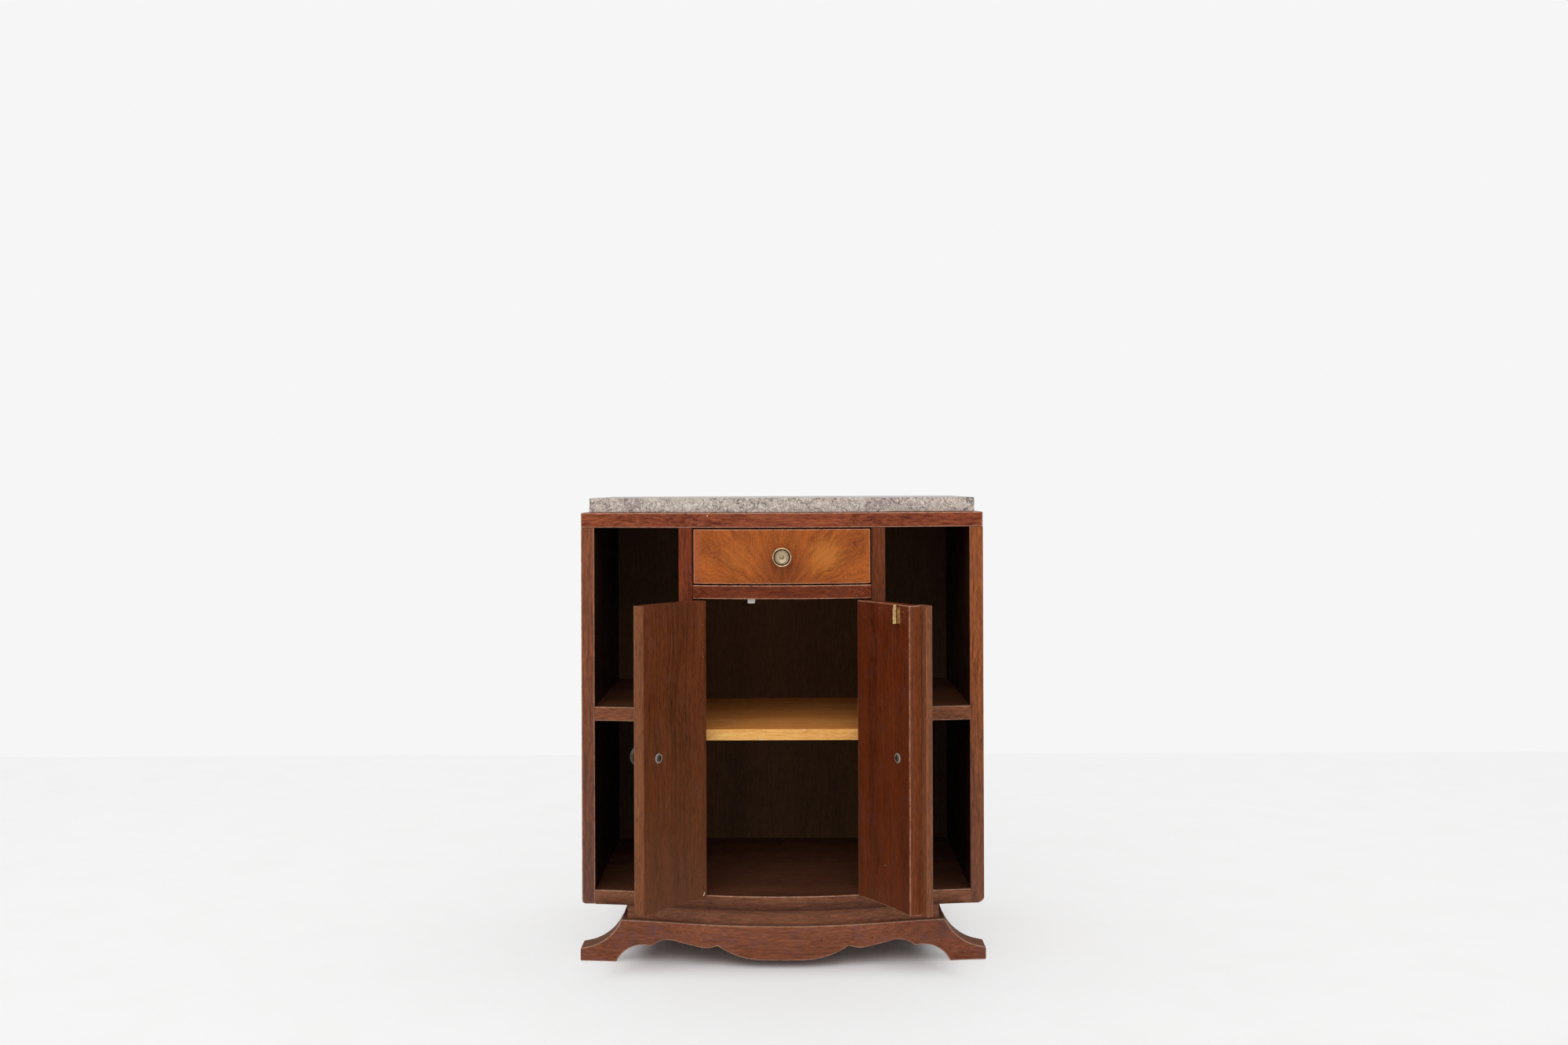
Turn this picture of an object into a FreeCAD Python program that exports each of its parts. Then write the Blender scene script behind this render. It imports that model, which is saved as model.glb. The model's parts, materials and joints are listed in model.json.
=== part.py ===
import FreeCAD, Part
import Sketcher
import math
import os
import re

# Bow-front cabinet: a marble top, one drawer over a pair of doors, and open shelves on both sides.
# Lengths are millimetres and angles are degrees. X runs to the right and Z up; the front looks to -Y.
# Places along Y are distances behind the apex of the bow, and place() moves them to the origin.
# The doors are drawn closed and then swung to the angles at which they stand open.

SIZES = {
    # Case
    "case_width": 620,
    "case_depth": 394,
    "case_height": 602.5,
    "side_board": 21,
    "top_board": 23,
    "bottom_board": 22,
    "partition_board": 22,
    "corner_round": 5.5,
    "back_board": 8,
    "back_let_in": 9,
    # Plan of the front: a convex middle that runs into a hollow on each side
    "bow_radius": 620,
    "bow_half_chord": 155,
    "hollow_radius": 866,
    # Middle bay
    "opening_width": 271,
    "drawer_opening": 86.9,
    "rail_board": 21,
    "rail_depth": 70,
    "centre_shelf_board": 17.5,
    "centre_shelf_lift": 229.5,
    "centre_shelf_gap": 5,
    "cleat_width": 10,
    "cleat_height": 20,
    "cleat_setback": 12,
    # Side bays
    "side_shelf_board": 22,
    "side_shelf_lift": 260,
    # Marble slab
    "marble_thickness": 22.5,
    "marble_side_inset": 12.5,
    "marble_front_inset": 8,
    "marble_back_inset": 4,
    "marble_arris": 1.5,
    # Neck and plinth
    "neck_side_inset": 70,
    "neck_height": 23,
    "neck_inset": 8,
    "neck_board": 20,
    "plinth_height": 65,
    "plinth_step": 9,
    "foot_overhang": 2.5,
    "apron_board": 40,
    "plinth_board": 20,
    "plinth_side_height": 40,
    "rear_foot_width": 60,
    "glue_block": 30,
    "front_block_depth": 60,
    # Drawer
    "drawer_top_gap": 2,
    "drawer_bottom_gap": 1.9,
    "drawer_edge_gap": 0.8,
    "drawer_front_board": 34,
    "drawer_board": 12,
    "drawer_back_room": 22,
    "drawer_headroom": 12.6,
    "drawer_side_gap": 0.5,
    "drawer_bottom_board": 6,
    "drawer_bottom_lift": 6,
    "drawer_groove": 5,
    "runner_width": 16,
    "runner_height": 16,
    "running_gap": 0.3,
    "drawer_stop_place": 72,
    "drawer_stop_width": 24,
    "drawer_stop_depth": 12,
    "drawer_stop_height": 5,
    # Doors
    "door_board": 20,
    "door_edge_gap": 0.8,
    "door_meeting_gap": 1,
    "door_top_gap": 1.6,
    "door_bottom_gap": 1,
    "door_edge_round": 4,
    "left_open_angle": 122.5,
    "right_open_angle": 114.5,
    "astragal_board": 12,
    "astragal_lap": 13,
    "astragal_seat": 14,
    "astragal_relief": 0.5,
    "astragal_round": 4,
    # Hinges
    "hinge_height": 50,
    "hinge_inset": 70,
    "leaf_board": 1.6,
    "leaf_margin": 2,
    "knuckle_radius": 3.6,
    "knuckle_clearance": 0.25,
    "pin_radius": 1.5,
    "pin_clearance": 0.05,
    "knuckle_gap": 0.4,
    # Knobs
    "knob_diameter": 30,
    "knob_length": 20,
    "rose_diameter": 19,
    "rose_thickness": 3,
    "drawer_knob_lift": 41.5,
    "door_knob_lift": 223,
    "door_knob_place": 35.1,
    "screw_radius": 2,
    "screw_clearance": 0.2,
    "screw_bite": 8,
    "washer_radius": 6.5,
    "washer_thickness": 1.3,
    "screw_head_radius": 4.2,
    "screw_head_height": 2,
    "seat_clearance": 0.05,
    # Spring catch of the right door
    "catch_place": 31.1,
    "catch_drop": 3,
    "catch_plate_width": 13,
    "catch_plate_height": 26,
    "catch_plate": 1.5,
    "catch_web": 6,
    "barrel_radius": 4.5,
    "barrel_height": 23,
    "barrel_floor": 2,
    "bolt_radius": 3,
    "bolt_clearance": 0.1,
    "bolt_length": 20,
    "bolt_proud": 5,
    "bolt_bevel": 1.2,
    "strike_width": 14,
    "strike_plate": 1.2,
    "strike_depth": 10,
    "strike_lip": 1.6,
    "strike_lip_drop": 2.6,
    "strike_gap": 0.6,
    # White stop block of the left door
    "stop_place": 47,
    "stop_width": 12,
    "stop_height": 8,
    "stop_depth": 12,
    "stop_gap": 0.5,
    # Cutters reach this far past the wood that they cut
    "overrun": 20,
}

# Lower edge of the apron from the middle outwards, as shares of half the foot spread and of the plinth's
# height. Each run is a line between two points or an arc through three.
APRON_EDGE_SHARES = [
    [(0.000, 0.200), (0.096, 0.200)],
    [(0.096, 0.200), (0.228, 0.300), (0.320, 0.508)],
    [(0.320, 0.508), (0.362, 0.447), (0.416, 0.460)],
    [(0.416, 0.460), (0.512, 0.538)],
    [(0.512, 0.538), (0.574, 0.570), (0.640, 0.432)],
    [(0.640, 0.432), (0.653, 0.408)],
    [(0.653, 0.408), (0.742, 0.366), (0.822, 0.000)],
]
# Outer edge of a flared foot in the same shares: the toe, its inner end and the middle of the hollow above
TOE_SHARE = 0.300
TOE_END_SHARES = (0.950, 0.354)
FOOT_HOLLOW_SHARES = (0.854, 0.615)
# Arch in the plinth's back, as a share of its height, and the middle of the arch's corner in shares of that
REAR_ARCH_SHARE = 0.55
REAR_CORNER_SHARE = 0.30
# Each outer knuckle of a hinge, as a share of its height
KNUCKLE_SHARE = 0.32
# Turned profile of a knob, as shares of its radius and length, from its seat on the rose to the middle
KNOB_SHARES = [
    [(0.48, 0.00), (0.33, 0.30), (0.62, 0.58)],
    [(0.62, 0.58), (0.90, 0.68), (1.00, 0.80)],
    [(1.00, 0.80), (0.97, 0.93), (0.89, 1.00)],
    [(0.89, 1.00), (0.80, 0.96), (0.76, 0.87)],
    [(0.76, 0.87), (0.70, 0.87)],
    [(0.70, 0.87), (0.66, 0.92), (0.61, 0.88)],
    [(0.61, 0.88), (0.40, 0.83), (0.20, 0.82)],
    [(0.20, 0.82), (0.14, 0.89), (0.06, 0.92)],
    [(0.06, 0.92), (0.00, 0.92)],
]
# Rounded front edge of a rose, as shares of its radius and thickness
ROSE_EDGE_SHARES = [(1.00, 0.45), (0.95, 0.85), (0.82, 1.00)]
# Domed screw head, as shares of its radius and height
SCREW_HEAD_SHARES = [(1.00, 0.00), (0.78, 0.70), (0.25, 1.00)]

SIDES = ("left", "right")
UP = FreeCAD.Vector(0, 0, 1)
# Points closer than this count as one
TOUCH = 1e-4

os.makedirs("parts", exist_ok=True)
doc = FreeCAD.newDocument("cabinet")
sheet = doc.addObject("Spreadsheet::Sheet", "Sizes")
size = dict(SIZES)
nodes = {}


def hollow_centre():
    """Centre of the right-hand hollow in the plan, and the angle at which the bow meets it."""
    turn = math.asin(size["bow_half_chord"] / size["bow_radius"])
    radii = size["bow_radius"] + size["hollow_radius"]
    return radii * math.sin(turn), size["bow_radius"] - radii * math.cos(turn), turn


def bow(x):
    """How far the front lies behind the bow's apex, x away from the middle."""
    if abs(x) <= size["bow_half_chord"]:
        return size["bow_radius"] - math.sqrt(size["bow_radius"] ** 2 - x ** 2)
    centre_x, centre_y, turn = hollow_centre()
    return centre_y + math.sqrt(size["hollow_radius"] ** 2 - (centre_x - abs(x)) ** 2)


def work_out_sizes():
    """Add the sizes that follow from the driving ones: half widths, levels, hinge places and the origin."""
    size["apex"] = 0
    size["case_half"] = size["case_width"] / 2
    size["inner_half"] = size["case_half"] - size["side_board"]
    size["marble_half"] = size["case_half"] - size["marble_side_inset"]
    size["marble_back"] = size["case_depth"] - size["marble_back_inset"]
    size["neck_half"] = size["case_half"] - size["neck_side_inset"]
    size["neck_inside"] = size["neck_inset"] + size["neck_board"]
    size["plinth_half"] = size["neck_half"] + size["plinth_step"]
    size["foot_half"] = size["case_half"] + size["foot_overhang"]
    size["wide_half"] = size["foot_half"] + size["overrun"]
    size["case_lift"] = size["plinth_height"] + size["neck_height"]
    size["floor_level"] = size["case_lift"] + size["bottom_board"]
    size["case_top"] = size["case_lift"] + size["case_height"]
    size["ceiling_level"] = size["case_top"] - size["top_board"]
    size["drawer_floor"] = size["ceiling_level"] - size["drawer_opening"]
    size["rail_level"] = size["drawer_floor"] - size["rail_board"]
    size["inside_depth"] = size["case_depth"] - size["back_board"]
    size["half_opening"] = size["opening_width"] / 2
    size["bay_edge"] = size["half_opening"] + size["partition_board"]
    size["drawer_foot"] = size["drawer_floor"] + size["running_gap"]
    size["drawer_half"] = size["half_opening"] - size["drawer_edge_gap"] - size["drawer_side_gap"]
    size["drawer_back"] = size["inside_depth"] - size["drawer_back_room"]
    size["door_foot"] = size["floor_level"] + size["door_bottom_gap"]
    size["door_head"] = size["rail_level"] - size["door_top_gap"]
    size["pin_x"] = size["half_opening"] - size["door_edge_gap"] / 2
    size["pin_stand_off"] = size["knuckle_radius"] + size["knuckle_gap"]
    size["pin_back"] = bow(size["half_opening"]) - size["pin_stand_off"]
    size["leaf_depth"] = size["door_board"] - size["leaf_margin"]
    size["centre_shelf_front"] = bow(size["half_opening"]) + size["door_board"] + size["centre_shelf_gap"]
    stop_edge = size["stop_place"] + size["stop_width"] / 2
    size["stop_front"] = size["door_board"] + size["stop_gap"] + bow(stop_edge)
    size["catch_top"] = size["door_head"] - size["catch_drop"]
    size["barrel_top"] = size["catch_top"] - (size["catch_plate_height"] - size["barrel_height"]) / 2
    size["catch_seat"] = size["door_board"] + size["seat_clearance"]
    size["barrel_back"] = size["catch_seat"] + size["catch_plate"] + size["barrel_radius"]
    size["strike_front"] = size["door_board"] + size["strike_gap"]
    # The strip on the open right door reaches furthest forward; the origin is under the middle of the box
    turn = math.radians(size["right_open_angle"])
    strip_x = size["pin_x"] + size["astragal_lap"] - size["door_meeting_gap"] / 2
    strip_y = size["pin_back"] + size["astragal_relief"]
    reach = strip_x * math.sin(turn) + strip_y * math.cos(turn) - size["pin_back"]
    size["origin_setback"] = (size["case_depth"] - reach) / 2


def fill_sheet():
    """Write every size to the sheet under its own name."""
    for row, (alias, length) in enumerate(size.items(), start=1):
        sheet.set(f"A{row}", alias)
        sheet.set(f"B{row}", str(length))
        sheet.setAlias(f"B{row}", alias)
    doc.recompute()


def formula(text):
    """Turn a sum of size names into an expression on the sheet."""
    return re.sub(r"[a-z_]+", lambda word: f"Sizes.{word.group()}", text)


def bind(thing, prop, text):
    """Bind one property of an object to a sum of size names."""
    thing.setExpression(prop, formula(text))


def place(thing, x, y, z):
    """Bind an object's place; y counts back from the bow's apex."""
    bind(thing, "Placement.Base.x", x)
    bind(thing, "Placement.Base.y", f"{y} - origin_setback")
    bind(thing, "Placement.Base.z", z)


def box(name, x, y, z):
    """A block between two places along each axis."""
    block = doc.addObject("Part::Box", name)
    bind(block, "Length", f"({x[1]}) - ({x[0]})")
    bind(block, "Width", f"({y[1]}) - ({y[0]})")
    bind(block, "Height", f"({z[1]}) - ({z[0]})")
    place(block, x[0], y[0], z[0])
    return block


def post(name, x, y, z, radius):
    """An upright cylinder between two levels."""
    cylinder = doc.addObject("Part::Cylinder", name)
    bind(cylinder, "Radius", radius)
    bind(cylinder, "Height", f"({z[1]}) - ({z[0]})")
    place(cylinder, x, y, z[0])
    return cylinder


def group(name, things):
    """Separate solids kept together as one node or one cutter."""
    compound = doc.addObject("Part::Compound", name)
    compound.Links = things
    return compound


def common(name, base, tool):
    """What two shapes share."""
    shared = doc.addObject("Part::Common", name)
    shared.Base = base
    shared.Tool = tool
    return shared


def cut(name, base, *tools):
    """A shape with others cut out of it."""
    remainder = doc.addObject("Part::Cut", name)
    remainder.Base = base
    remainder.Tool = tools[0] if len(tools) == 1 else group(name + "_cutters", list(tools))
    return remainder


def fuse(name, *things):
    """Shapes joined into one piece."""
    whole = doc.addObject("Part::MultiFuse", name)
    whole.Shapes = list(things)
    return whole


def node(label, thing):
    """Name a finished sub-part."""
    thing.Label = label
    nodes[label] = thing
    return thing


def span(side, low, high):
    """A stretch of X on the right, or its mirror image on the left."""
    return (low, high) if side == "right" else (f"-({high})", f"-({low})")


def hand(side):
    """The sign of X on one side."""
    return 1 if side == "right" else -1


def turn_about(x, y, angle):
    """A turn about an upright axis; y counts back from the bow's apex."""
    axis_at = FreeCAD.Vector(x, y - size["origin_setback"], 0)
    return FreeCAD.Placement(FreeCAD.Vector(), FreeCAD.Rotation(UP, angle), axis_at)


def move(thing, placement):
    """Move an object on from where it is."""
    thing.Placement = placement.multiply(thing.Placement)
    return thing


def swing(side, thing):
    """Swing a closed door's piece to the angle at which the door stands open."""
    angle = hand(side) * size[f"{side}_open_angle"]
    return move(thing, turn_about(hand(side) * size["pin_x"], size["pin_back"], angle))


def sketch_on(body, name, role):
    """An empty sketch on one of a body's own origin planes."""
    sketch = body.newObject("Sketcher::SketchObject", name)
    plane = next(feature for feature in body.Origin.OriginFeatures if feature.Role == role)
    sketch.AttachmentSupport = [(plane, "")]
    sketch.MapMode = "FlatFace"
    return sketch


def trace(sketch, runs):
    """Draw an outline: two points make a line, and three an arc through the middle one."""
    for run in runs:
        points = [FreeCAD.Vector(x, y, 0) for x, y in run]
        sketch.addGeometry(Part.LineSegment(*points) if len(points) == 2 else Part.Arc(*points))
    sketch.detectMissingPointOnPointConstraints()
    sketch.makeMissingPointOnPointCoincident()


def dimension(sketch, name, constraint, text):
    """Add a named dimension that follows the sheet."""
    index = sketch.addConstraint(constraint)
    sketch.renameConstraint(index, name)
    bind(sketch, f"Constraints.{name}", text)


def level_edges(shape, level):
    """Names of a shape's edges that lie at one level."""
    return [f"Edge{index}" for index, edge in enumerate(shape.Edges, start=1)
            if all(math.isclose(vertex.Z, level, abs_tol=TOUCH) for vertex in edge.Vertexes)]


def side_edges(shape):
    """Names of the edges that run from front to back along the foot of the case's two sides."""
    found = []
    for name in level_edges(shape, size["case_lift"]):
        edge = shape.getElement(name)
        along = edge.tangentAt(edge.FirstParameter)
        if abs(edge.CenterOfMass.x) > size["inner_half"] and abs(along.y) > abs(along.x):
            found.append(name)
    return found


def bowed_block(name, half, front, back, z):
    """A body with the case's bowed front between two levels; half, front and back are names of sizes."""
    body = doc.addObject("PartDesign::Body", name)
    sketch = sketch_on(body, name + "_plan", "XY_Plane")
    radius = size["bow_radius"]
    hollow = size["hollow_radius"]
    wide = size[half]
    deep = size[back] - size[front]
    centre_x, centre_y, turn = hollow_centre()
    outer = math.acos((wide - centre_x) / hollow)
    quarter = math.pi / 2
    corners = [FreeCAD.Vector(x, y, 0) for x, y in
               ((wide, bow(wide)), (wide, deep), (-wide, deep), (-wide, bow(wide)))]
    bow_circle = Part.Circle(FreeCAD.Vector(0, radius, 0), UP, radius)
    right_circle = Part.Circle(FreeCAD.Vector(centre_x, centre_y, 0), UP, hollow)
    left_circle = Part.Circle(FreeCAD.Vector(-centre_x, centre_y, 0), UP, hollow)
    sketch.addGeometry([
        Part.ArcOfCircle(bow_circle, 3 * quarter - turn, 3 * quarter + turn),
        Part.ArcOfCircle(right_circle, outer, quarter + turn),
        Part.LineSegment(corners[0], corners[1]),
        Part.LineSegment(corners[1], corners[2]),
        Part.LineSegment(corners[2], corners[3]),
        Part.ArcOfCircle(left_circle, quarter - turn, math.pi - outer),
    ])
    sketch.addConstraint([
        Sketcher.Constraint("Tangent", 0, 2, 1, 2),
        Sketcher.Constraint("Tangent", 0, 1, 5, 1),
        Sketcher.Constraint("Coincident", 1, 1, 2, 1),
        Sketcher.Constraint("Coincident", 2, 2, 3, 1),
        Sketcher.Constraint("Coincident", 3, 2, 4, 1),
        Sketcher.Constraint("Coincident", 4, 2, 5, 2),
        Sketcher.Constraint("Vertical", 2),
        Sketcher.Constraint("Vertical", 4),
        Sketcher.Constraint("PointOnObject", 0, 3, -2),
        Sketcher.Constraint("PointOnObject", -1, 1, 0),
        Sketcher.Constraint("Equal", 1, 5),
        Sketcher.Constraint("Symmetric", 3, 1, 3, 2, -2),
    ])
    chord = size["bow_half_chord"]
    dimension(sketch, "bow_radius", Sketcher.Constraint("Radius", 0, radius), "bow_radius")
    dimension(sketch, "hollow_radius", Sketcher.Constraint("Radius", 1, hollow), "hollow_radius")
    dimension(sketch, "right_chord", Sketcher.Constraint("DistanceX", -1, 1, 0, 2, chord), "bow_half_chord")
    dimension(sketch, "left_chord", Sketcher.Constraint("DistanceX", 0, 1, -1, 1, chord), "bow_half_chord")
    dimension(sketch, "half_width", Sketcher.Constraint("DistanceX", -1, 1, 3, 1, wide), half)
    dimension(sketch, "depth", Sketcher.Constraint("DistanceY", -1, 1, 3, 1, deep), f"{back} - {front}")
    pad = body.newObject("PartDesign::Pad", name + "_pad")
    pad.Profile = sketch
    bind(pad, "Length", f"({z[1]}) - ({z[0]})")
    place(body, "apex", front, z[0])
    doc.recompute()
    return body


def round_edges(body, edges, radius):
    """Round named edges of a body's last feature."""
    fillet = body.newObject("PartDesign::Fillet", body.Name + "_round")
    fillet.Base = (body.Group[-2], edges)
    bind(fillet, "Radius", radius)
    body.Tip = fillet
    doc.recompute()
    return body


def profile_board(name, runs, y):
    """A board cut to a front outline, between two places along Y."""
    body = doc.addObject("PartDesign::Body", name)
    sketch = sketch_on(body, name + "_outline", "XZ_Plane")
    trace(sketch, runs)
    pad = body.newObject("PartDesign::Pad", name + "_pad")
    pad.Profile = sketch
    pad.Midplane = True
    bind(pad, "Length", f"({y[1]}) - ({y[0]})")
    place(body, "apex", f"(({y[0]}) + ({y[1]})) / 2", "apex")
    return body


def turned(name, runs):
    """A body turned about the Y axis; runs hold radii and distances behind the seat."""
    body = doc.addObject("PartDesign::Body", name)
    sketch = sketch_on(body, name + "_profile", "XY_Plane")
    trace(sketch, runs)
    revolution = body.newObject("PartDesign::Revolution", name + "_turn")
    revolution.Profile = sketch
    revolution.ReferenceAxis = (sketch, ["V_Axis"])
    revolution.Angle = 360
    return body


def scaled(shares, x_size, y_size, y_start=0):
    """Points from shares of two sizes."""
    return [(x * x_size, y_start + y * y_size) for x, y in shares]


def chain(points):
    """Lines from each point to the next."""
    return [list(pair) for pair in zip(points, points[1:])]


def build_case(plan):
    """Boards of the case, cut to the bowed plan, with the back let into rebates."""
    back = node("back_panel", box("back_panel", ("-inner_half - back_let_in", "inner_half + back_let_in"),
                                  ("inside_depth", "case_depth"),
                                  ("floor_level - back_let_in", "ceiling_level + back_let_in")))
    deep = ("-overrun", "case_depth")
    # The top lies over the sides, and the bottom is held between them
    boards = {"case_top": (("-case_half", "case_half"), ("ceiling_level", "case_top")),
              "case_bottom": (("-inner_half", "inner_half"), ("case_lift", "floor_level"))}
    for label, (x, z) in boards.items():
        board = common(label + "_board", box(label + "_stock", x, deep, z), plan)
        node(label, cut(label, board, back))
    upright = ("case_lift", "ceiling_level")
    inside = ("-overrun", "inside_depth")
    shelf = ("floor_level + side_shelf_lift", "floor_level + side_shelf_lift + side_shelf_board")
    for side in SIDES:
        stock = box(f"{side}_side_stock", span(side, "inner_half", "case_half"), deep, upright)
        node(f"{side}_side", cut(f"{side}_side", common(f"{side}_side_board", stock, plan), back))
        stock = box(f"{side}_shelf_stock", span(side, "bay_edge", "inner_half"), inside, shelf)
        node(f"{side}_side_shelf", common(f"{side}_side_shelf", stock, plan))
    across = ("-half_opening", "half_opening")
    rail = box("drawer_rail_stock", across, ("-overrun", "rail_depth"), ("rail_level", "drawer_floor"))
    node("drawer_rail", common("drawer_rail", rail, plan))
    slab = bowed_block("marble_top", "marble_half", "marble_front_inset", "marble_back",
                       ("case_top", "case_top + marble_thickness"))
    upper = level_edges(slab.Shape, size["case_top"] + size["marble_thickness"])
    lower = level_edges(slab.Shape, size["case_top"])
    node("marble_top", round_edges(slab, upper + lower, "marble_arris"))


def build_middle_bay():
    """Centre shelf on its cleats, drawer runners and stops, and the white stop block of the left door."""
    shelf_level = "floor_level + centre_shelf_lift"
    node("centre_shelf", box("centre_shelf", ("-half_opening", "half_opening"),
                             ("centre_shelf_front", "inside_depth"),
                             (shelf_level, shelf_level + " + centre_shelf_board")))
    for side in SIDES:
        node(f"{side}_shelf_cleat", box(f"{side}_shelf_cleat",
                                        span(side, "half_opening - cleat_width", "half_opening"),
                                        ("centre_shelf_front + cleat_setback", "inside_depth"),
                                        (shelf_level + " - cleat_height", shelf_level)))
        node(f"{side}_drawer_runner", box(f"{side}_drawer_runner",
                                          span(side, "half_opening - runner_width", "half_opening"),
                                          ("rail_depth", "inside_depth"),
                                          ("drawer_floor - runner_height", "drawer_floor")))
    stops = [box(f"{side}_drawer_stop",
                 span(side, "drawer_stop_place - drawer_stop_width", "drawer_stop_place"),
                 ("drawer_front_board + running_gap", "drawer_front_board + running_gap + drawer_stop_depth"),
                 ("drawer_floor", "drawer_floor + drawer_stop_height")) for side in SIDES]
    node("drawer_stops", group("drawer_stops", stops))
    node("door_stop_block", box("door_stop_block",
                                ("-stop_place - stop_width / 2", "-stop_place + stop_width / 2"),
                                ("stop_front", "stop_front + stop_depth"),
                                ("rail_level - stop_height", "rail_level")))


def build_neck():
    """Recessed band between the case and the plinth."""
    z = ("plinth_height", "case_lift")
    inside = bowed_block("neck_inside", "wide_half", "neck_inside", "case_depth", z)
    outside = bowed_block("neck_outside", "neck_half", "neck_inset", "case_depth", z)
    node("neck_front", cut("neck_front", outside, inside))
    for side in SIDES:
        stock = box(f"neck_{side}_stock", span(side, "neck_half - neck_board", "neck_half"),
                    ("neck_inside", "case_depth - neck_board"), z)
        node(f"neck_{side}", common(f"neck_{side}", stock, inside))
    node("neck_back", box("neck_back", ("-neck_half", "neck_half"),
                          ("case_depth - neck_board", "case_depth"), z))


def apron_outline():
    """Front outline of the apron: the scalloped lower edge and the flared feet."""
    half = size["foot_half"]
    tall = size["plinth_height"]
    edge = [scaled(run, half, tall) for run in APRON_EDGE_SHARES]
    inner_foot = edge[-1][-1]
    toe = (half, TOE_SHARE * tall)
    toe_end, hollow = scaled([TOE_END_SHARES, FOOT_HOLLOW_SHARES], half, tall)
    shoulder = (size["plinth_half"], tall)
    right = edge + chain([inner_foot, (half, 0), toe, toe_end]) + [[toe_end, hollow, shoulder]]
    left = [[(-x, z) for x, z in run] for run in right]
    return right + [[shoulder, (-shoulder[0], tall)]] + left


def rear_outline():
    """Front outline of the plinth's back: a plain arch between two feet."""
    half = size["plinth_half"]
    tall = size["plinth_height"]
    foot = half - size["rear_foot_width"]
    arch = REAR_ARCH_SHARE * tall
    bend = REAR_CORNER_SHARE * arch
    corner = [(foot, 0), (foot - bend, arch - bend), (foot - arch, arch)]
    mirrored = [(-x, z) for x, z in reversed(corner)]
    outside = chain([mirrored[-1], (-half, 0), (-half, tall), (half, tall), (half, 0), corner[0]])
    return [corner, [corner[-1], mirrored[0]], mirrored] + outside


def build_plinth():
    """Bowed apron with flared feet, plain sides and back, and glue blocks in the corners."""
    z = ("apex", "plinth_height")
    front = bowed_block("apron_front", "wide_half", "apex", "case_depth", z)
    behind = bowed_block("apron_behind", "wide_half", "apron_board", "case_depth", z)
    outline = profile_board("apron_outline", apron_outline(), ("apex", "case_depth"))
    band = cut("apron_band", front, behind)
    node("plinth_apron", common("plinth_apron", outline, band))
    rear = "case_depth - plinth_board"
    node("plinth_back", profile_board("plinth_back", rear_outline(), (rear, "case_depth")))
    side_levels = ("plinth_height - plinth_side_height", "plinth_height")
    blocks = []
    for side in SIDES:
        stock = box(f"plinth_{side}_stock", span(side, "plinth_half - plinth_board", "plinth_half"),
                    ("apron_board", rear), side_levels)
        node(f"plinth_{side}", common(f"plinth_{side}", stock, behind))
        across = span(side, "plinth_half - plinth_board - glue_block", "plinth_half - plinth_board")
        stock = box(f"front_{side}_block_stock", across, ("apron_board", "apron_board + front_block_depth"),
                    side_levels)
        blocks.append(common(f"front_{side}_block", stock, behind))
        blocks.append(box(f"rear_{side}_block", across, (f"{rear} - glue_block", rear), side_levels))
    node("plinth_blocks", group("plinth_blocks", blocks))


def build_knob(prefix, level, angle, seat):
    """A turned knob, its rose and the screw from behind; returns these three and the screw's hole."""
    hole = size["screw_radius"] + size["screw_clearance"]
    rose = size["rose_thickness"]
    bite = rose + size["screw_bite"]
    radius = size["knob_diameter"] / 2
    profile = [scaled(run, radius, -size["knob_length"], -rose) for run in KNOB_SHARES]
    socket = [profile[-1][-1], (0, -bite), (hole, -bite), (hole, -rose), profile[0][0]]
    knob = turned(f"{prefix}_knob", profile + chain(socket))
    edge = scaled(ROSE_EDGE_SHARES, size["rose_diameter"] / 2, -rose)
    ring = [edge[-1], (hole, -rose), (hole, 0), (size["rose_diameter"] / 2, 0), edge[0]]
    base = turned(f"{prefix}_knob_rose", [edge] + chain(ring))
    washer = seat + size["washer_thickness"]
    dome = scaled(SCREW_HEAD_SHARES, size["screw_head_radius"], size["screw_head_height"], washer)
    tip = size["screw_clearance"] - bite
    shank = [dome[-1], (0, dome[-1][1]), (0, tip), (size["screw_radius"], tip), (size["screw_radius"], seat),
             (size["washer_radius"], seat), (size["washer_radius"], washer), dome[0]]
    screw = turned(f"{prefix}_knob_screw", [dome] + chain(shank))
    bore = turned(f"{prefix}_knob_hole",
                  chain([(0, -rose), (hole, -rose), (hole, washer), (0, washer), (0, -rose)]))
    seat_at = FreeCAD.Placement(FreeCAD.Vector(0, -size["origin_setback"], level), FreeCAD.Rotation())
    pieces = (knob, base, screw, bore)
    for piece in pieces:
        move(piece, turn_about(0, size["bow_radius"], angle).multiply(seat_at))
    for piece in (knob, base, screw):
        node(piece.Name, piece)
    return pieces


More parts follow.
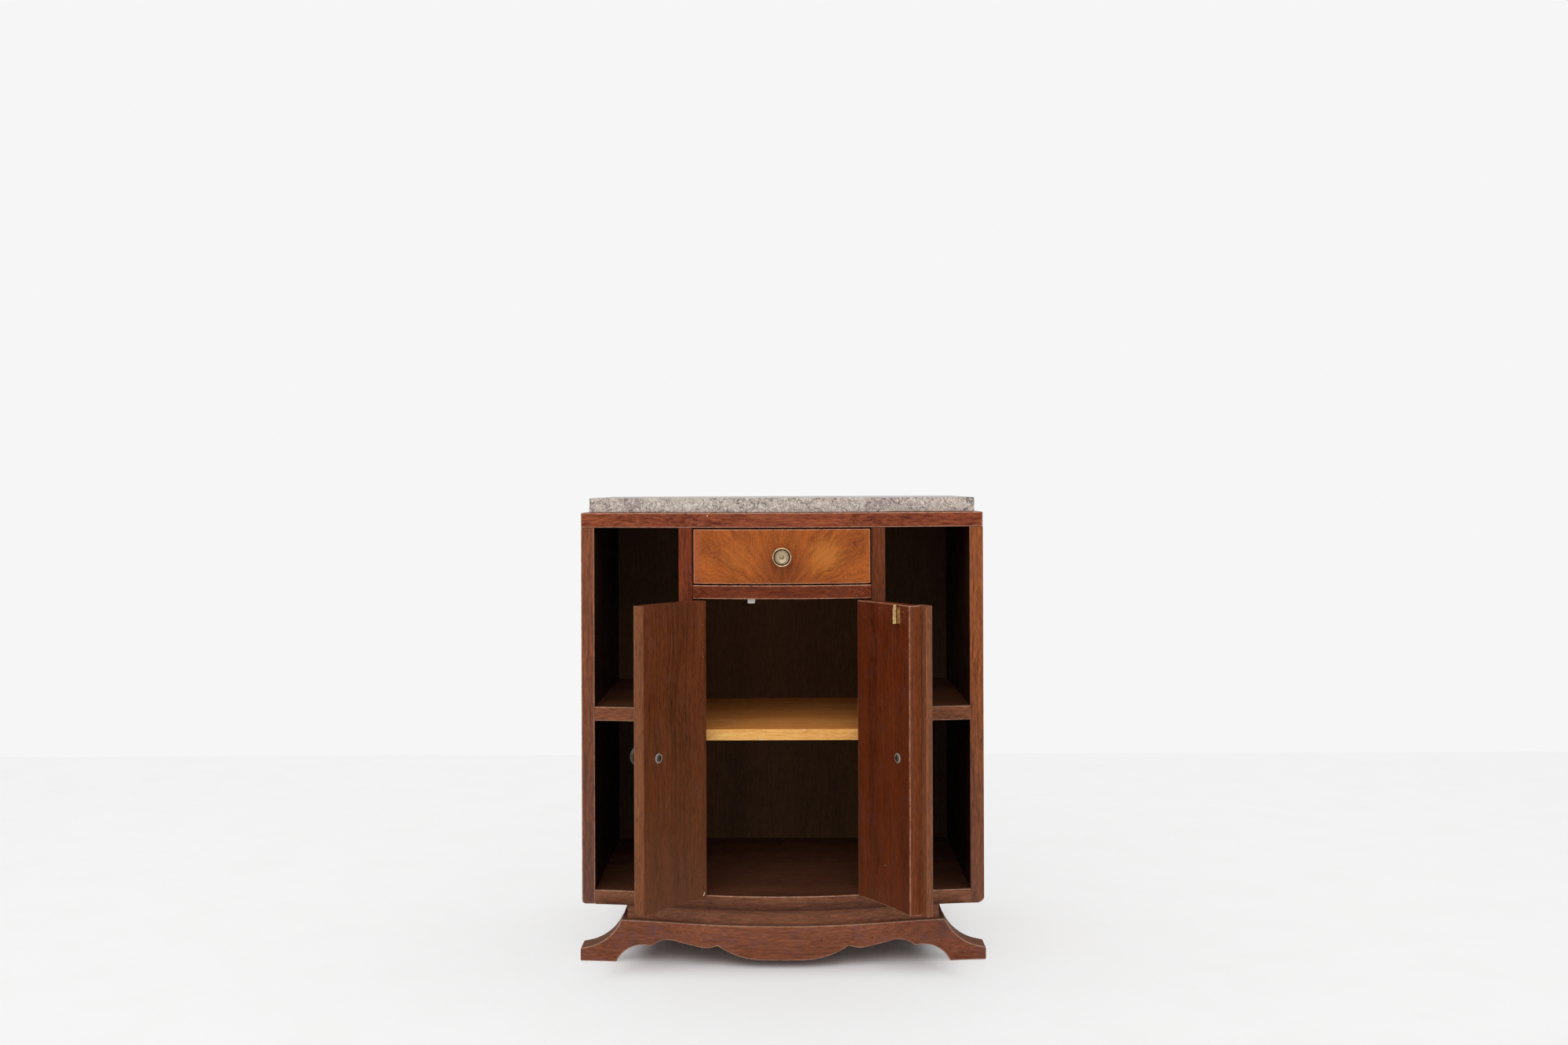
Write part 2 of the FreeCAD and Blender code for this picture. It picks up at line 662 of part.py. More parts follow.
def build_drawer(plan):
    """Bowed drawer front with a plain box behind it."""
    level = size["drawer_floor"] + size["drawer_bottom_gap"] + size["drawer_knob_lift"]
    bore = build_knob("drawer", level, 0, size["drawer_front_board"] + size["seat_clearance"])[-1]
    floor = "drawer_foot + drawer_bottom_lift"
    bottom = node("drawer_bottom", box("drawer_bottom",
                                       ("-drawer_half + drawer_board - drawer_groove",
                                        "drawer_half - drawer_board + drawer_groove"),
                                       ("drawer_front_board - drawer_groove", "drawer_back"),
                                       (floor, floor + " + drawer_bottom_board")))
    stock = box("drawer_front_stock", ("-half_opening + drawer_edge_gap", "half_opening - drawer_edge_gap"),
                ("-overrun", "drawer_front_board"),
                ("drawer_floor + drawer_bottom_gap", "ceiling_level - drawer_top_gap"))
    node("drawer_front", cut("drawer_front", common("drawer_front_board_bowed", stock, plan), bore, bottom))
    for side in SIDES:
        board = box(f"drawer_{side}_board", span(side, "drawer_half - drawer_board", "drawer_half"),
                    ("drawer_front_board", "drawer_back"), ("drawer_foot", "ceiling_level - drawer_headroom"))
        node(f"drawer_{side}_side", cut(f"drawer_{side}_side", board, bottom))
    node("drawer_back", box("drawer_back_board",
                            ("-drawer_half + drawer_board", "drawer_half - drawer_board"),
                            ("drawer_back - drawer_board", "drawer_back"),
                            (floor + " + drawer_bottom_board", "ceiling_level - drawer_headroom")))


def build_hinge(side, place_name, middle):
    """One butt hinge: frame leaf, door leaf and pin, with the blocks that cut the leaves' recesses."""
    name = f"{side}_{place_name}_hinge"
    x = "pin_x" if side == "right" else "-pin_x"
    low = f"({middle}) - hinge_height / 2"
    high = f"({middle}) + hinge_height / 2"
    first = f"{low} + hinge_height * {KNUCKLE_SHARE}"
    last = f"{high} - hinge_height * {KNUCKLE_SHARE}"
    deep = ("pin_back", "pin_back + pin_stand_off + leaf_depth")
    frame_plate = box(f"{name}_frame_plate", span(side, "half_opening", "half_opening + leaf_board"),
                      deep, (low, high))
    door_plate = box(f"{name}_door_plate", span(side, "half_opening - door_edge_gap - leaf_board",
                                                "half_opening - door_edge_gap"), deep, (low, high))
    room = "knuckle_radius + knuckle_clearance"
    gap = "knuckle_clearance"
    middle_room = post(f"{name}_middle_room", x, "pin_back", (first, last), room)
    lower_room = post(f"{name}_lower_room", x, "pin_back", (f"{low} - overrun", f"{first} + {gap}"), room)
    upper_room = post(f"{name}_upper_room", x, "pin_back", (f"{last} - {gap}", f"{high} + overrun"), room)
    lower = post(f"{name}_lower_knuckle", x, "pin_back", (low, first), "knuckle_radius")
    upper = post(f"{name}_upper_knuckle", x, "pin_back", (last, high), "knuckle_radius")
    turning = post(f"{name}_door_knuckle", x, "pin_back", (f"{first} + {gap}", f"{last} - {gap}"),
                   "knuckle_radius")
    bore = post(f"{name}_bore", x, "pin_back", (f"{low} - overrun", f"{high} + overrun"),
                "pin_radius + pin_clearance")
    frame_slot = cut(f"{name}_frame_slot", frame_plate, middle_room)
    frame_leaf = fuse(f"{name}_frame_blank", frame_slot, lower, upper)
    door_slots = cut(f"{name}_door_slots", door_plate, lower_room, upper_room)
    door_leaf = fuse(f"{name}_door_blank", door_slots, turning)
    pin = post(f"{name}_pin", x, "pin_back", (low, high), "pin_radius")
    return {"frame": cut(f"{name}_frame_leaf", frame_leaf, bore),
            "door": cut(f"{name}_door_leaf", door_leaf, bore),
            "pin": pin, "frame_recess": frame_plate, "door_recess": door_plate}


def build_partition(side, plan, hinges):
    """Partition beside the middle bay, with recesses for the fixed hinge leaves."""
    stock = box(f"{side}_partition_stock", span(side, "half_opening", "bay_edge"),
                ("-overrun", "inside_depth"), ("floor_level", "ceiling_level"))
    board = common(f"{side}_partition_board", stock, plan)
    node(f"{side}_partition", cut(f"{side}_partition", board, *[hinge["frame_recess"] for hinge in hinges]))


def build_door(side, plan, door_inside):
    """A bowed door with its knob and hinges, swung open."""
    hinges = [build_hinge(side, "lower", "door_foot + hinge_inset"),
              build_hinge(side, "upper", "door_head - hinge_inset")]
    build_partition(side, plan, hinges)
    across = span(side, "door_meeting_gap / 2", "half_opening - door_edge_gap")
    stock = box(f"{side}_door_stock", across, ("-overrun", "pin_back + pin_stand_off + door_board + overrun"),
                ("door_foot", "door_head"))
    panel = cut(f"{side}_door_bent", common(f"{side}_door_bowed", stock, plan), door_inside)
    knob_x = size["door_knob_place"]
    angle = hand(side) * math.degrees(math.asin(knob_x / size["bow_radius"]))
    knob, rose, screw, bore = build_knob(f"{side}_door", size["door_foot"] + size["door_knob_lift"], angle,
                                         size["door_board"] + size["seat_clearance"])
    panel = cut(f"{side}_door_recessed", panel, bore, *[hinge["door_recess"] for hinge in hinges])
    if side == "left":
        panel = round_meeting_edge(panel)
    node(f"{side}_door_panel", panel)
    leaves = node(f"{side}_hinge_door_leaves",
                  group(f"{side}_door_leaves", [hinge["door"] for hinge in hinges]))
    node(f"{side}_hinge_frame_leaves", group(f"{side}_frame_leaves", [hinge["frame"] for hinge in hinges]))
    node(f"{side}_hinge_pins", group(f"{side}_hinge_pins", [hinge["pin"] for hinge in hinges]))
    for piece in (panel, knob, rose, screw, leaves):
        swing(side, piece)


def round_meeting_edge(panel):
    """Round the outer arris of the left door's free edge."""
    doc.recompute()
    free_x = -size["door_meeting_gap"] / 2
    front_y = bow(free_x) - size["origin_setback"]
    rounded = doc.addObject("Part::Fillet", "left_door_rounded")
    rounded.Base = panel
    radius = size["door_edge_round"]
    corner = FreeCAD.Vector(free_x, front_y, 0)
    rounded.Edges = [(index, radius, radius) for index, edge in enumerate(panel.Shape.Edges, start=1)
                     if all(corner.isEqual(FreeCAD.Vector(vertex.X, vertex.Y, 0), TOUCH)
                            for vertex in edge.Vertexes)]
    return rounded


def build_astragal():
    """Strip on the right door's free edge that laps over the closed left door."""
    body = doc.addObject("PartDesign::Body", "astragal")
    sketch = sketch_on(body, "astragal_section", "XY_Plane")
    edge = size["door_meeting_gap"] / 2
    tip = edge - size["astragal_lap"]
    heel = edge + size["astragal_seat"]
    thick = size["astragal_board"]
    relief = size["astragal_relief"]
    bend = size["astragal_round"]
    inset = bend * (1 - math.sqrt(0.5))
    trace(sketch, chain([(tip, bend - thick), (tip, -relief), (edge, -relief)])
          + chain([(edge, -relief), (edge, 0), (heel, 0), (heel, bend - thick)])
          + [[(heel, bend - thick), (heel - inset, inset - thick), (heel - bend, -thick)]]
          + chain([(heel - bend, -thick), (tip + bend, -thick)])
          + [[(tip + bend, -thick), (tip + inset, inset - thick), (tip, bend - thick)]])
    pad = body.newObject("PartDesign::Pad", "astragal_pad")
    pad.Profile = sketch
    bind(pad, "Length", "door_head - door_foot")
    seat_at = FreeCAD.Vector(0, -size["origin_setback"], size["door_foot"])
    move(body, FreeCAD.Placement(seat_at, FreeCAD.Rotation()))
    swing("right", node("astragal", body))


def build_catch():
    """Brass spring catch on the right door's inner face, and its strike under the drawer rail."""
    upright = ("barrel_top - barrel_height", "barrel_top")
    plate = box("catch_plate_block", ("-catch_plate_width / 2", "catch_plate_width / 2"),
                ("catch_seat", "catch_seat + catch_plate"),
                ("catch_top - catch_plate_height", "catch_top"))
    web = box("catch_web_block", ("-catch_web / 2", "catch_web / 2"), ("catch_seat", "barrel_back"), upright)
    barrel = post("catch_barrel", "apex", "barrel_back", upright, "barrel_radius")
    bore = post("catch_bore", "apex", "barrel_back",
                ("barrel_top - barrel_height + barrel_floor", "barrel_top + overrun"),
                "bolt_radius + bolt_clearance")
    case = node("catch_case", cut("catch_case", fuse("catch_blank", plate, web, barrel), bore))
    rod = post("catch_rod", "apex", "barrel_back",
               ("barrel_top + bolt_proud - bolt_length", "barrel_top + bolt_proud"), "bolt_radius")
    doc.recompute()
    bolt = doc.addObject("Part::Chamfer", "catch_bolt")
    bolt.Base = rod
    bevel = size["bolt_bevel"]
    bolt.Edges = [(int(name.removeprefix("Edge")), bevel, bevel)
                  for name in level_edges(rod.Shape, size["barrel_top"] + size["bolt_proud"])]
    node("catch_bolt", bolt)
    lip_back = "strike_front + strike_lip"
    half = ("-strike_width / 2", "strike_width / 2")
    lip = box("strike_lip_block", half, ("strike_front", lip_back),
              ("rail_level - strike_lip_drop", "rail_level"))
    plate = box("strike_plate_block", half, (f"{lip_back} - strike_depth", lip_back),
                ("rail_level - strike_plate", "rail_level"))
    strike = node("catch_strike", fuse("catch_strike", lip, plate))
    angle = math.degrees(math.asin(size["catch_place"] / size["bow_radius"]))
    for piece in (case, bolt, strike):
        move(piece, turn_about(0, size["bow_radius"] + size["door_board"], angle))
    for piece in (case, bolt):
        swing("right", piece)


def write_parts():
    """Check every object and write each sub-part to its own file."""
    doc.recompute()
    failed = [thing.Label for thing in doc.Objects if {"Invalid", "Error"} & set(thing.State)]
    failed += [label for label, thing in nodes.items() if thing.Shape.isNull() or not thing.Shape.isValid()]
    if failed:
        raise RuntimeError(f"These objects failed: {', '.join(failed)}")
    for label, thing in nodes.items():
        thing.Shape.exportStep(f"parts/{label}.step")
    print(f"{len(nodes)} sub-parts written")


work_out_sizes()
fill_sheet()
case_plan = bowed_block("case_plan", "case_half", "apex", "case_depth", ("case_lift", "case_top"))
round_edges(case_plan, side_edges(case_plan.Shape), "corner_round")
build_case(case_plan)
build_middle_bay()
build_neck()
build_plinth()
build_drawer(case_plan)
inside_of_doors = bowed_block("door_inside", "case_half", "door_board", "case_depth",
                              ("case_lift", "case_top"))
for door_side in SIDES:
    build_door(door_side, case_plan, inside_of_doors)
build_astragal()
build_catch()
write_parts()
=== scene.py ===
"""Bow-front cabinet with a marble top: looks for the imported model, as an add-on that is run as a script."""
import json
import math

import bmesh
import bpy
from mathutils import Euler, Matrix, Vector
from mathutils.bvhtree import BVHTree

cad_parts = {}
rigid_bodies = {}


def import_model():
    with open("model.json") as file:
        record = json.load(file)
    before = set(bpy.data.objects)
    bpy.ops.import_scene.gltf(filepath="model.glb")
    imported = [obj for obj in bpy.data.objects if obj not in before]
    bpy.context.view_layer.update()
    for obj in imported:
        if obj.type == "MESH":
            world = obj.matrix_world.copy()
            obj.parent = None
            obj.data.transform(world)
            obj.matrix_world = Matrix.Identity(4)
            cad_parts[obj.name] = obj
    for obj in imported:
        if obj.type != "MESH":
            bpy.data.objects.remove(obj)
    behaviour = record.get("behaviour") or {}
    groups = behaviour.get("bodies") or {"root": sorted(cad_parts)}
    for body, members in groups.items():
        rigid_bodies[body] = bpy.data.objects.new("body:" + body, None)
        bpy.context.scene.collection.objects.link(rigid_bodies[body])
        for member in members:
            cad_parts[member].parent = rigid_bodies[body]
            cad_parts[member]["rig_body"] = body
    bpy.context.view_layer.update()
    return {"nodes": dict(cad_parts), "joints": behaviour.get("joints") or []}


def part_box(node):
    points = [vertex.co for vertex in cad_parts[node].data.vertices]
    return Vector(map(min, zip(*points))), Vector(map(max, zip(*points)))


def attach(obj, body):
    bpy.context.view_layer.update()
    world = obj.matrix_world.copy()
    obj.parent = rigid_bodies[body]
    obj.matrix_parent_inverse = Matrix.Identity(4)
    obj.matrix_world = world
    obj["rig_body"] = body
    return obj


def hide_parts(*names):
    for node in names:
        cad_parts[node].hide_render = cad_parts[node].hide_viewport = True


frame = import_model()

bl_info = {
    "name": "Bow-front cabinet",
    "version": (1, 0, 0),
    "blender": (4, 5, 0),
    "location": "3D View > Sidebar > Cabinet",
    "description": "Finishes the boards, marble and metalwork of a bow-front cabinet",
    "category": "Object",
}

MM = 0.001
FULL_TURN = 2 * math.pi
# Points of a CAD mesh that are closer than this are one point; a point this near to a level lies on it
MERGE, ON_LEVEL = 0.002 * MM, 0.05 * MM
# Faces that differ by less than this make one flat face
FLAT = math.radians(0.2)
# Edges sharper than this are rounded, and shading breaks at angles above the second
SHARP, CREASE = math.radians(30), math.radians(35)
# Outlines shorter than this are bores and other small holes, which stay sharp
LEAST_OUTLINE = 70 * MM
# Segments of a rounded edge, and steps round a turned piece
ARRIS_STEPS, TURN_STEPS = 2, 72
# Cosines above which a face looks along an axis, and above which it belongs to a door's free edge, which is
# painted lighter
ALONG, LIT_EDGE_ALONG = 0.9, 0.6
# Faces of the drawer's front are veneered where their normal goes this far forward
VENEERED = -0.1
# Turns of the flats that make up a worn corner, and the way in which the case's lower corner has broken off
CORNER_TURNS = [math.radians(turn) for turn in (12, 24, 36, 48, 60, 72)]
BREAK_WAY = Vector((1, -0.8, -1)).normalized()
# Share of the wear that the doors' arrises show, and of amber on the shelf's upper face
DOOR_WEAR, AMBER = 0.55, 0.3
# Boards take one of this many places in the grain's pattern, this many to a step
BOARD_PLACES, PLACES_TO_STEP = 89, 10

# The picture's frame in pixels, and the camera that sees the cabinet as the picture does
FRAME_WIDE, FRAME_HIGH = 2000, 1333
EYE = Vector((0.0036, -2.4427, 0.731))
LENS, SENSOR = 35, 36
SHIFT = -0.0233
GAZE = Euler((math.radians(90), math.radians(0.2), 0))
# The floor's half width, its far edge and the size of its marks
FLOOR_HALF, FLOOR_END, FLOOR_MARKS = 6, 1.71, 120 * MM
# The soft lamp's width and height, its power, and where it stands and points
LAMP_SIZE, LAMP_POWER = (2.6, 2.0), 26
LAMP_PLACE, LAMP_AIM = Vector((-0.5, -2.3, 2.5)), Vector((0, 0, 0.4))
# Strength of the room's light, and how much of the floor's colour is its own
ROOM_LIGHT, FLOOR_GLOW = 0.85, 0.62
# Under the cabinet the shadow is full; it thins from the first to the second distance along each axis
FOOTPRINT = (("X", 0.2, 0.29), ("Y", 0.1, 0.2))

# Woods: their dark and light grain, and what is made of them
WOODS = {
    "top": ("#561f10", "#a55634", "the top board"),
    "red": ("#4c1a08", "#883d17", "the left partition and the rail"),
    "brown": ("#441a0a", "#7b3d1a", "the right partition"),
    "faded": ("#512d1b", "#935437", "the left side"),
    "shelf": ("#5b341e", "#a4603e", "the side shelves"),
    "warm": ("#693518", "#af6435", "the right side"),
    "plinth": ("#5b3120", "#9d5d40", "the plinth"),
    "bottom": ("#543020", "#986044", "the bottom board and the neck"),
    "astragal": ("#542d19", "#8a5335", "the strip on the right door"),
    "left_door": ("#421e0c", "#743c1e", "the left door"),
    "right_door": ("#3d1707", "#702f12", "the right door"),
    # Painted light: the faces of the doors' free edges, lit more than the inner faces, take these lighter
    # colours
    "left_edge": ("#582d15", "#844f2d", "the left door's free edge"),
    "right_edge": ("#4f200a", "#81411c", "the right door's free edge"),
    "pine": ("#dd8f42", "#f7c373", "the unpolished shelf"),
    "raw": ("#8a6440", "#b78f63", "the hidden woodwork"),
    "back": ("#49311f", "#6f4f34", "the stained back panel"),
}
# How strongly a wood's grain shows, where that isn't 1
CONTRAST = {"top": 1.05, "shelf": 0.85, "warm": 1.1, "plinth": 0.75, "bottom": 0.7, "right_door": 0.85,
            "back": 0.55}
# Painted reflection of the pale floor: how strong a grey veil it lays on a wood's polish at the floor
FLOOR_REFLECTED = {"faded": 0.5, "shelf": 0.4, "warm": 0.55, "left_door": 0.45, "right_door": 0.15}
# Metals: the material's name, how rough it is where bright and where dull, and how far it is free of film
METALS = {
    "nickel": ("worn_nickel_plate", 0.22, 0.5, 1.0),
    # Painted shade: the doors' knobs are dark because they stand in the compartments' shade and mirror their
    # dark inside
    "shaded_nickel": ("dark_nickel_plate", 0.3, 0.6, 1.0),
    "brass": ("tarnished_brass", 0.25, 0.5, 1.0),
    "dark_brass": ("darkened_brass", 0.4, 0.6, 1.0),
    "dark_steel": ("dark_steel", 0.35, 0.6, 1.0),
    "steel": ("dull_steel", 0.3, 0.55, 0.5),
}


def linear(code):
    """Turn an sRGB hex colour into the linear one that shaders take."""
    parts = [int(code[i:i + 2], 16) / 255 for i in (1, 3, 5)]
    return tuple(p / 12.92 if p <= 0.04045 else ((p + 0.055) / 1.055) ** 2.4 for p in parts)


def colour(name, code, description):
    """A colour that a user can change."""
    return bpy.props.FloatVectorProperty(name=name, description=description, subtype="COLOR", size=3,
                                         min=0, max=1, default=linear(code))


def grain_colours():
    """A dark and a light colour for every wood."""
    made = {}
    for kind, (dark, light, use) in WOODS.items():
        title = kind.replace("_", " ").capitalize()
        made[f"{kind}_dark"] = colour(f"{title}, dark", dark, f"Dark grain of {use}")
        made[f"{kind}_light"] = colour(f"{title}, light", light, f"Light grain of {use}")
    return made


def length(name, millimetres, description):
    """A length that a user can change."""
    return bpy.props.FloatProperty(name=name, description=description, unit="LENGTH", min=0,
                                   default=millimetres * MM, precision=5)


class CabinetColours(bpy.types.PropertyGroup):
    """Colours of the woods, stone and metals."""
    __annotations__.update(grain_colours())
    # Painted shade, partly a dark stain: the inner faces and the undersides inside the case
    inside: colour("Inside", "#251914", "Dark stain on the inner faces of the case")
    # Painted reflection: grey veils of the pale floor mirrored in the lower polish of the case and the doors
    floor_reflection: colour("Haze", "#5e4742", "Polish of the case that has gone dull towards the floor")
    door_haze: colour("Door haze", "#6a452c", "Polish of the doors that has gone dull towards the floor")
    worn: colour("Worn arris", "#bd9078", "Wood laid bare along the edges")
    bruise: colour("Bruised polish", "#63464a", "Purple-grey patches in the polish, mostly on the plinth")
    dust: colour("Dust", "#64503f", "Dust that lies on the plinth's upward faces")
    bare: colour("Bare wood", "#b3693a", "Wood in a fresh break")
    chip: colour("Chip", "#e6ddd0", "Pale ground in the small chips")
    scuff: colour("Scuff", "#7a5240", "Dull marks where the polish is scraped")
    veneer_dark: colour("Veneer, dark", "#7a3a14", "Dark lines of the drawer front's figure")
    veneer_light: colour("Veneer, light", "#b46023", "Light fields of the drawer front's figure")
    # Painted sheen: yellow patches where the veneer's figure catches the light
    veneer_sheen: colour("Veneer, glow", "#c98033", "Yellow patches beside the drawer's knob")
    veneer_end: colour("Veneer, end band", "#a0532f", "Pinkish band at the drawer's left end")
    crack: colour("Cracks", "#57260f", "Cracks in the drawer front's polish")
    pine_amber: colour("Pine, amber", "#f5701a", "Amber tone of the unpolished shelf's upper face")
    marble_ground: colour("Marble ground", "#beb1a6", "Main tone of the slab")
    marble_pale: colour("Marble, pale", "#ece3d6", "Pale clouds and flecks of the slab")
    marble_mauve: colour("Marble, mauve", "#8e7c7d", "Mauve patches of the slab")
    marble_vein: colour("Marble, veins", "#413538", "Dark veins of the slab")
    nickel_bright: colour("Nickel, bright", "#e9d0ac", "Rubbed plating on the drawer's knob")
    nickel_dull: colour("Nickel, dull", "#2f2317", "Dirt in the grooves of the drawer's knob")
    # Painted shade: dark nickel for the doors' knobs, which stand in shade
    shaded_nickel_bright: colour("Old nickel, bright", "#4d443a", "Dark plating on the doors' knobs")
    shaded_nickel_dull: colour("Old nickel, dull", "#4c3d2e", "Dirt in the grooves of the doors' knobs")
    brass_bright: colour("Brass, bright", "#d2b07c", "Rubbed brass of the catch and hinges")
    brass_dull: colour("Brass, dull", "#6e4b2b", "Tarnish on the catch and hinges")
    dark_brass_bright: colour("Dark brass, bright", "#54432a", "Brass of the strike, darkened all over")
    dark_brass_dull: colour("Dark brass, dull", "#57260f", "Tarnish on the strike")
    dark_steel_bright: colour("Dark steel, bright", "#5b554e", "Steel of the screw heads behind the knobs")
    dark_steel_dull: colour("Dark steel, dull", "#57260f", "Rust on the screw heads behind the knobs")
    steel_bright: colour("Steel, bright", "#b9b2a6", "Rubbed steel of the washers, hinge screws and pins")
    steel_dull: colour("Steel, dull", "#5c564f", "Tarnish on the washers, hinge screws and pins")
    paint_clean: colour("White paint, clean", "#e9e7e2", "Block that stops the left door")
    paint_soiled: colour("White paint, soiled", "#c4bcae", "Dirt on the painted block")
    floor: colour("Floor", "#f8f8f8", "Pale floor under the cabinet")
    floor_mark: colour("Floor marks", "#f3f3f2", "Faint marks on the floor")
    backdrop: colour("Backdrop", "#f6f6f6", "Pale wall behind the cabinet")


class CabinetSizes(bpy.types.PropertyGroup):
    """Sizes of the finish: rounded edges, the grain of each material and the small metalwork."""
    arris: length("Rounded edge", 1.6, "How far the boards' edges are rounded by wear")
    stone_arris: length("Stone edge", 0.6, "How far the slab's sharp edges are rounded")
    metal_arris: length("Metal edge", 0.3, "How far the hinges' and the catch's edges are rounded")
    door_round: length("Door corner", 9, "Worn rounding of the left door's foot")
    corner_break: length("Broken corner", 5, "Size of the piece broken off the case's lower right corner")
    streak: length("Grain streak", 3, "Width of a streak of the wood's grain")
    wander: length("Grain wander", 130, "Distance over which the grain wanders to the side")
    speck: length("Grain speck", 2.4, "Length of the short ticks between the streaks")
    band: length("Grain band", 40, "Width of a broad band of tone in the wood")
    pore: length("Pore", 1.2, "Width of a pore, drawn coarser than a real one so that it shows")
    patch: length("Polish patch", 28, "Size of a patch in the old polish")
    nick: length("Nick", 8, "Distance between the worn places along an edge")
    ripple: length("Veneer ripple", 3.6, "Distance between the fine ripples of the veneer")
    fan: length("Veneer fan", 62, "How far below the knob the veneer's fan begins")
    vein: length("Marble vein", 30, "Distance between the veins of the slab")
    thread: length("Marble thread", 6, "Distance between the thin threads of the slab")
    fleck: length("Marble fleck", 4, "Distance between the flecks of the slab")
    cloud: length("Marble cloud", 60, "Size of the mauve patches of the slab")
    tarnish: length("Tarnish", 5, "Size of a stain on the metal")
    screw_head: length("Hinge screw", 2.6, "Radius of a screw head on a hinge leaf")
    screw_rise: length("Screw rise", 0.35, "How far a hinge screw's head stands out")
    knob_screw_head: length("Knob screw", 4.4, "Radius of the screw head behind a knob")
    knob_screw_rise: length("Knob screw rise", 2, "How far a knob screw's head stands out from its washer")
    washer: length("Washer", 7.4, "Radius of the washer behind a knob")
    washer_board: length("Washer thickness", 1.3, "Thickness of the washer behind a knob")


def looks():
    """The colours and the sizes that the scene holds."""
    return bpy.context.scene.cabinet_colours, bpy.context.scene.cabinet_sizes


def add(tree, kind, settings=None, inputs=None):
    """Add one node with its settings; an input takes a value or the socket that feeds it."""
    node = tree.nodes.new(kind)
    for name, value in (settings or {}).items():
        setattr(node, name, value)
    for key, value in (inputs or {}).items():
        if isinstance(value, bpy.types.NodeSocket):
            tree.links.new(value, node.inputs[key])
        else:
            node.inputs[key].default_value = value
    return node


def maths(tree, operation, *values):
    """A calculation on numbers."""
    return add(tree, "ShaderNodeMath", {"operation": operation}, dict(enumerate(values))).outputs[0]


def plus(tree, base, value, weight):
    """A number with another one added, by its weight."""
    return maths(tree, "MULTIPLY_ADD", value, weight, base)


def vectors(tree, operation, *values, scale=None):
    """A calculation on vectors, which gives a number where it measures them."""
    inputs = dict(enumerate(values))
    if scale is not None:
        inputs["Scale"] = scale
    node = add(tree, "ShaderNodeVectorMath", {"operation": operation}, inputs)
    return node.outputs["Value" if operation in ("LENGTH", "DISTANCE", "DOT_PRODUCT") else "Vector"]


def joined(tree, x=0.0, y=0.0, z=0.0):
    """A vector from its three parts."""
    return add(tree, "ShaderNodeCombineXYZ", None, {"X": x, "Y": y, "Z": z}).outputs[0]


def axes(tree, vector):
    """A vector's three parts, by the axes' letters."""
    return add(tree, "ShaderNodeSeparateXYZ", None, {"Vector": vector}).outputs


def noise(tree, place, scale, detail=2.0, roughness=0.5, distortion=0.0, output="Fac"):
    """Cloudy noise with so many features to a metre."""
    return add(tree, "ShaderNodeTexNoise", None,
               {"Vector": place, "Scale": scale, "Detail": detail, "Roughness": roughness,
                "Distortion": distortion}).outputs[output]


def ramp(tree, value, low=0.0, high=1.0, start=0.0, end=1.0, smooth=False):
    """What lies between low and high, moved to lie between start and end."""
    return add(tree, "ShaderNodeMapRange", {"interpolation_type": "SMOOTHSTEP" if smooth else "LINEAR"},
               {"Value": value, "From Min": low, "From Max": high,
                "To Min": start, "To Max": end}).outputs["Result"]


def ridge(tree, field):
    """How far noise is from its middle, which is nothing along thin winding lines."""
    return maths(tree, "ABSOLUTE", maths(tree, "SUBTRACT", field, 0.5))


def painted(tree, name):
    """What a piece's faces carry in the attribute of this name."""
    return add(tree, "ShaderNodeAttribute", {"attribute_name": name}).outputs["Fac"]


def object_place(tree):
    """Where a point lies on its piece, in metres."""
    return add(tree, "ShaderNodeTexCoord").outputs["Object"]


def rgba(value):
    """A colour with full opacity."""
    return (*value, 1.0)


def blend(tree, share, first, second):
    """Two colours mixed, each of them a socket or a linear colour."""
    first, second = (part if isinstance(part, bpy.types.NodeSocket) else rgba(part)
                     for part in (first, second))
    return add(tree, "ShaderNodeMix", {"data_type": "RGBA"}, {0: share, 6: first, 7: second}).outputs[2]


def seen(tree):
    """1 for rays from the camera, also by way of a mirror, and 0 for rays that only carry light."""
    path = add(tree, "ShaderNodeLightPath").outputs
    mirrored = maths(tree, "MAXIMUM", path["Is Glossy Ray"], path["Is Transmission Ray"])
    return maths(tree, "MAXIMUM", path["Is Camera Ray"], mirrored)


def new_material(name):
    """An empty node material and its tree, with a Principled shader on the output."""
    material = bpy.data.materials.new(name)
    material.use_nodes = True
    tree = material.node_tree
    tree.nodes.clear()
    shader = add(tree, "ShaderNodeBsdfPrincipled")
    add(tree, "ShaderNodeOutputMaterial", None, {"Surface": shader.outputs["BSDF"]})
    return material, tree, shader


def surface(tree, shader, base, rough, specular=None, relief=None, strength=0.0, depth=0.0):
    """Give a shader its colour, roughness and gloss, and relief of a depth in metres."""
    tree.links.new(base, shader.inputs["Base Color"])
    tree.links.new(rough, shader.inputs["Roughness"])
    if specular is not None:
        shader.inputs["Specular IOR Level"].default_value = specular
    if relief is not None:
        bump = add(tree, "ShaderNodeBump", None, {"Height": relief, "Strength": strength, "Distance": depth})
        tree.links.new(bump.outputs["Normal"], shader.inputs["Normal"])


# How much a pattern is squeezed along the grain, which draws it out: streaks, short ticks and pores
STREAK_SQUEEZE, SPECK_SQUEEZE, PORE_SQUEEZE = 0.035, 0.2, 0.1
# Step in the pattern from one board to the next, so that no two boards share their grain
BOARD_STEP = (3.1, 1.7, 2.3)
# How many streaks' widths the grain wanders, and how much bands and ticks count beside the streaks
WANDER_REACH, BAND_WEIGHT, SPECK_WEIGHT = 5, 0.7, 0.5
# Where the sum of these goes from dark to light, and where fine noise opens into pores
GRAIN_RANGE, PORE_RANGE = (0.85, 1.35), (0.56, 0.72)
# Heights above the floor between which the painted reflection of the floor fades out
FLOOR_REFLECTION_RANGE = (0.08, 0.45)
# Noise between these makes the nicks along a worn edge
NICK_RANGE = (0.35, 0.65)


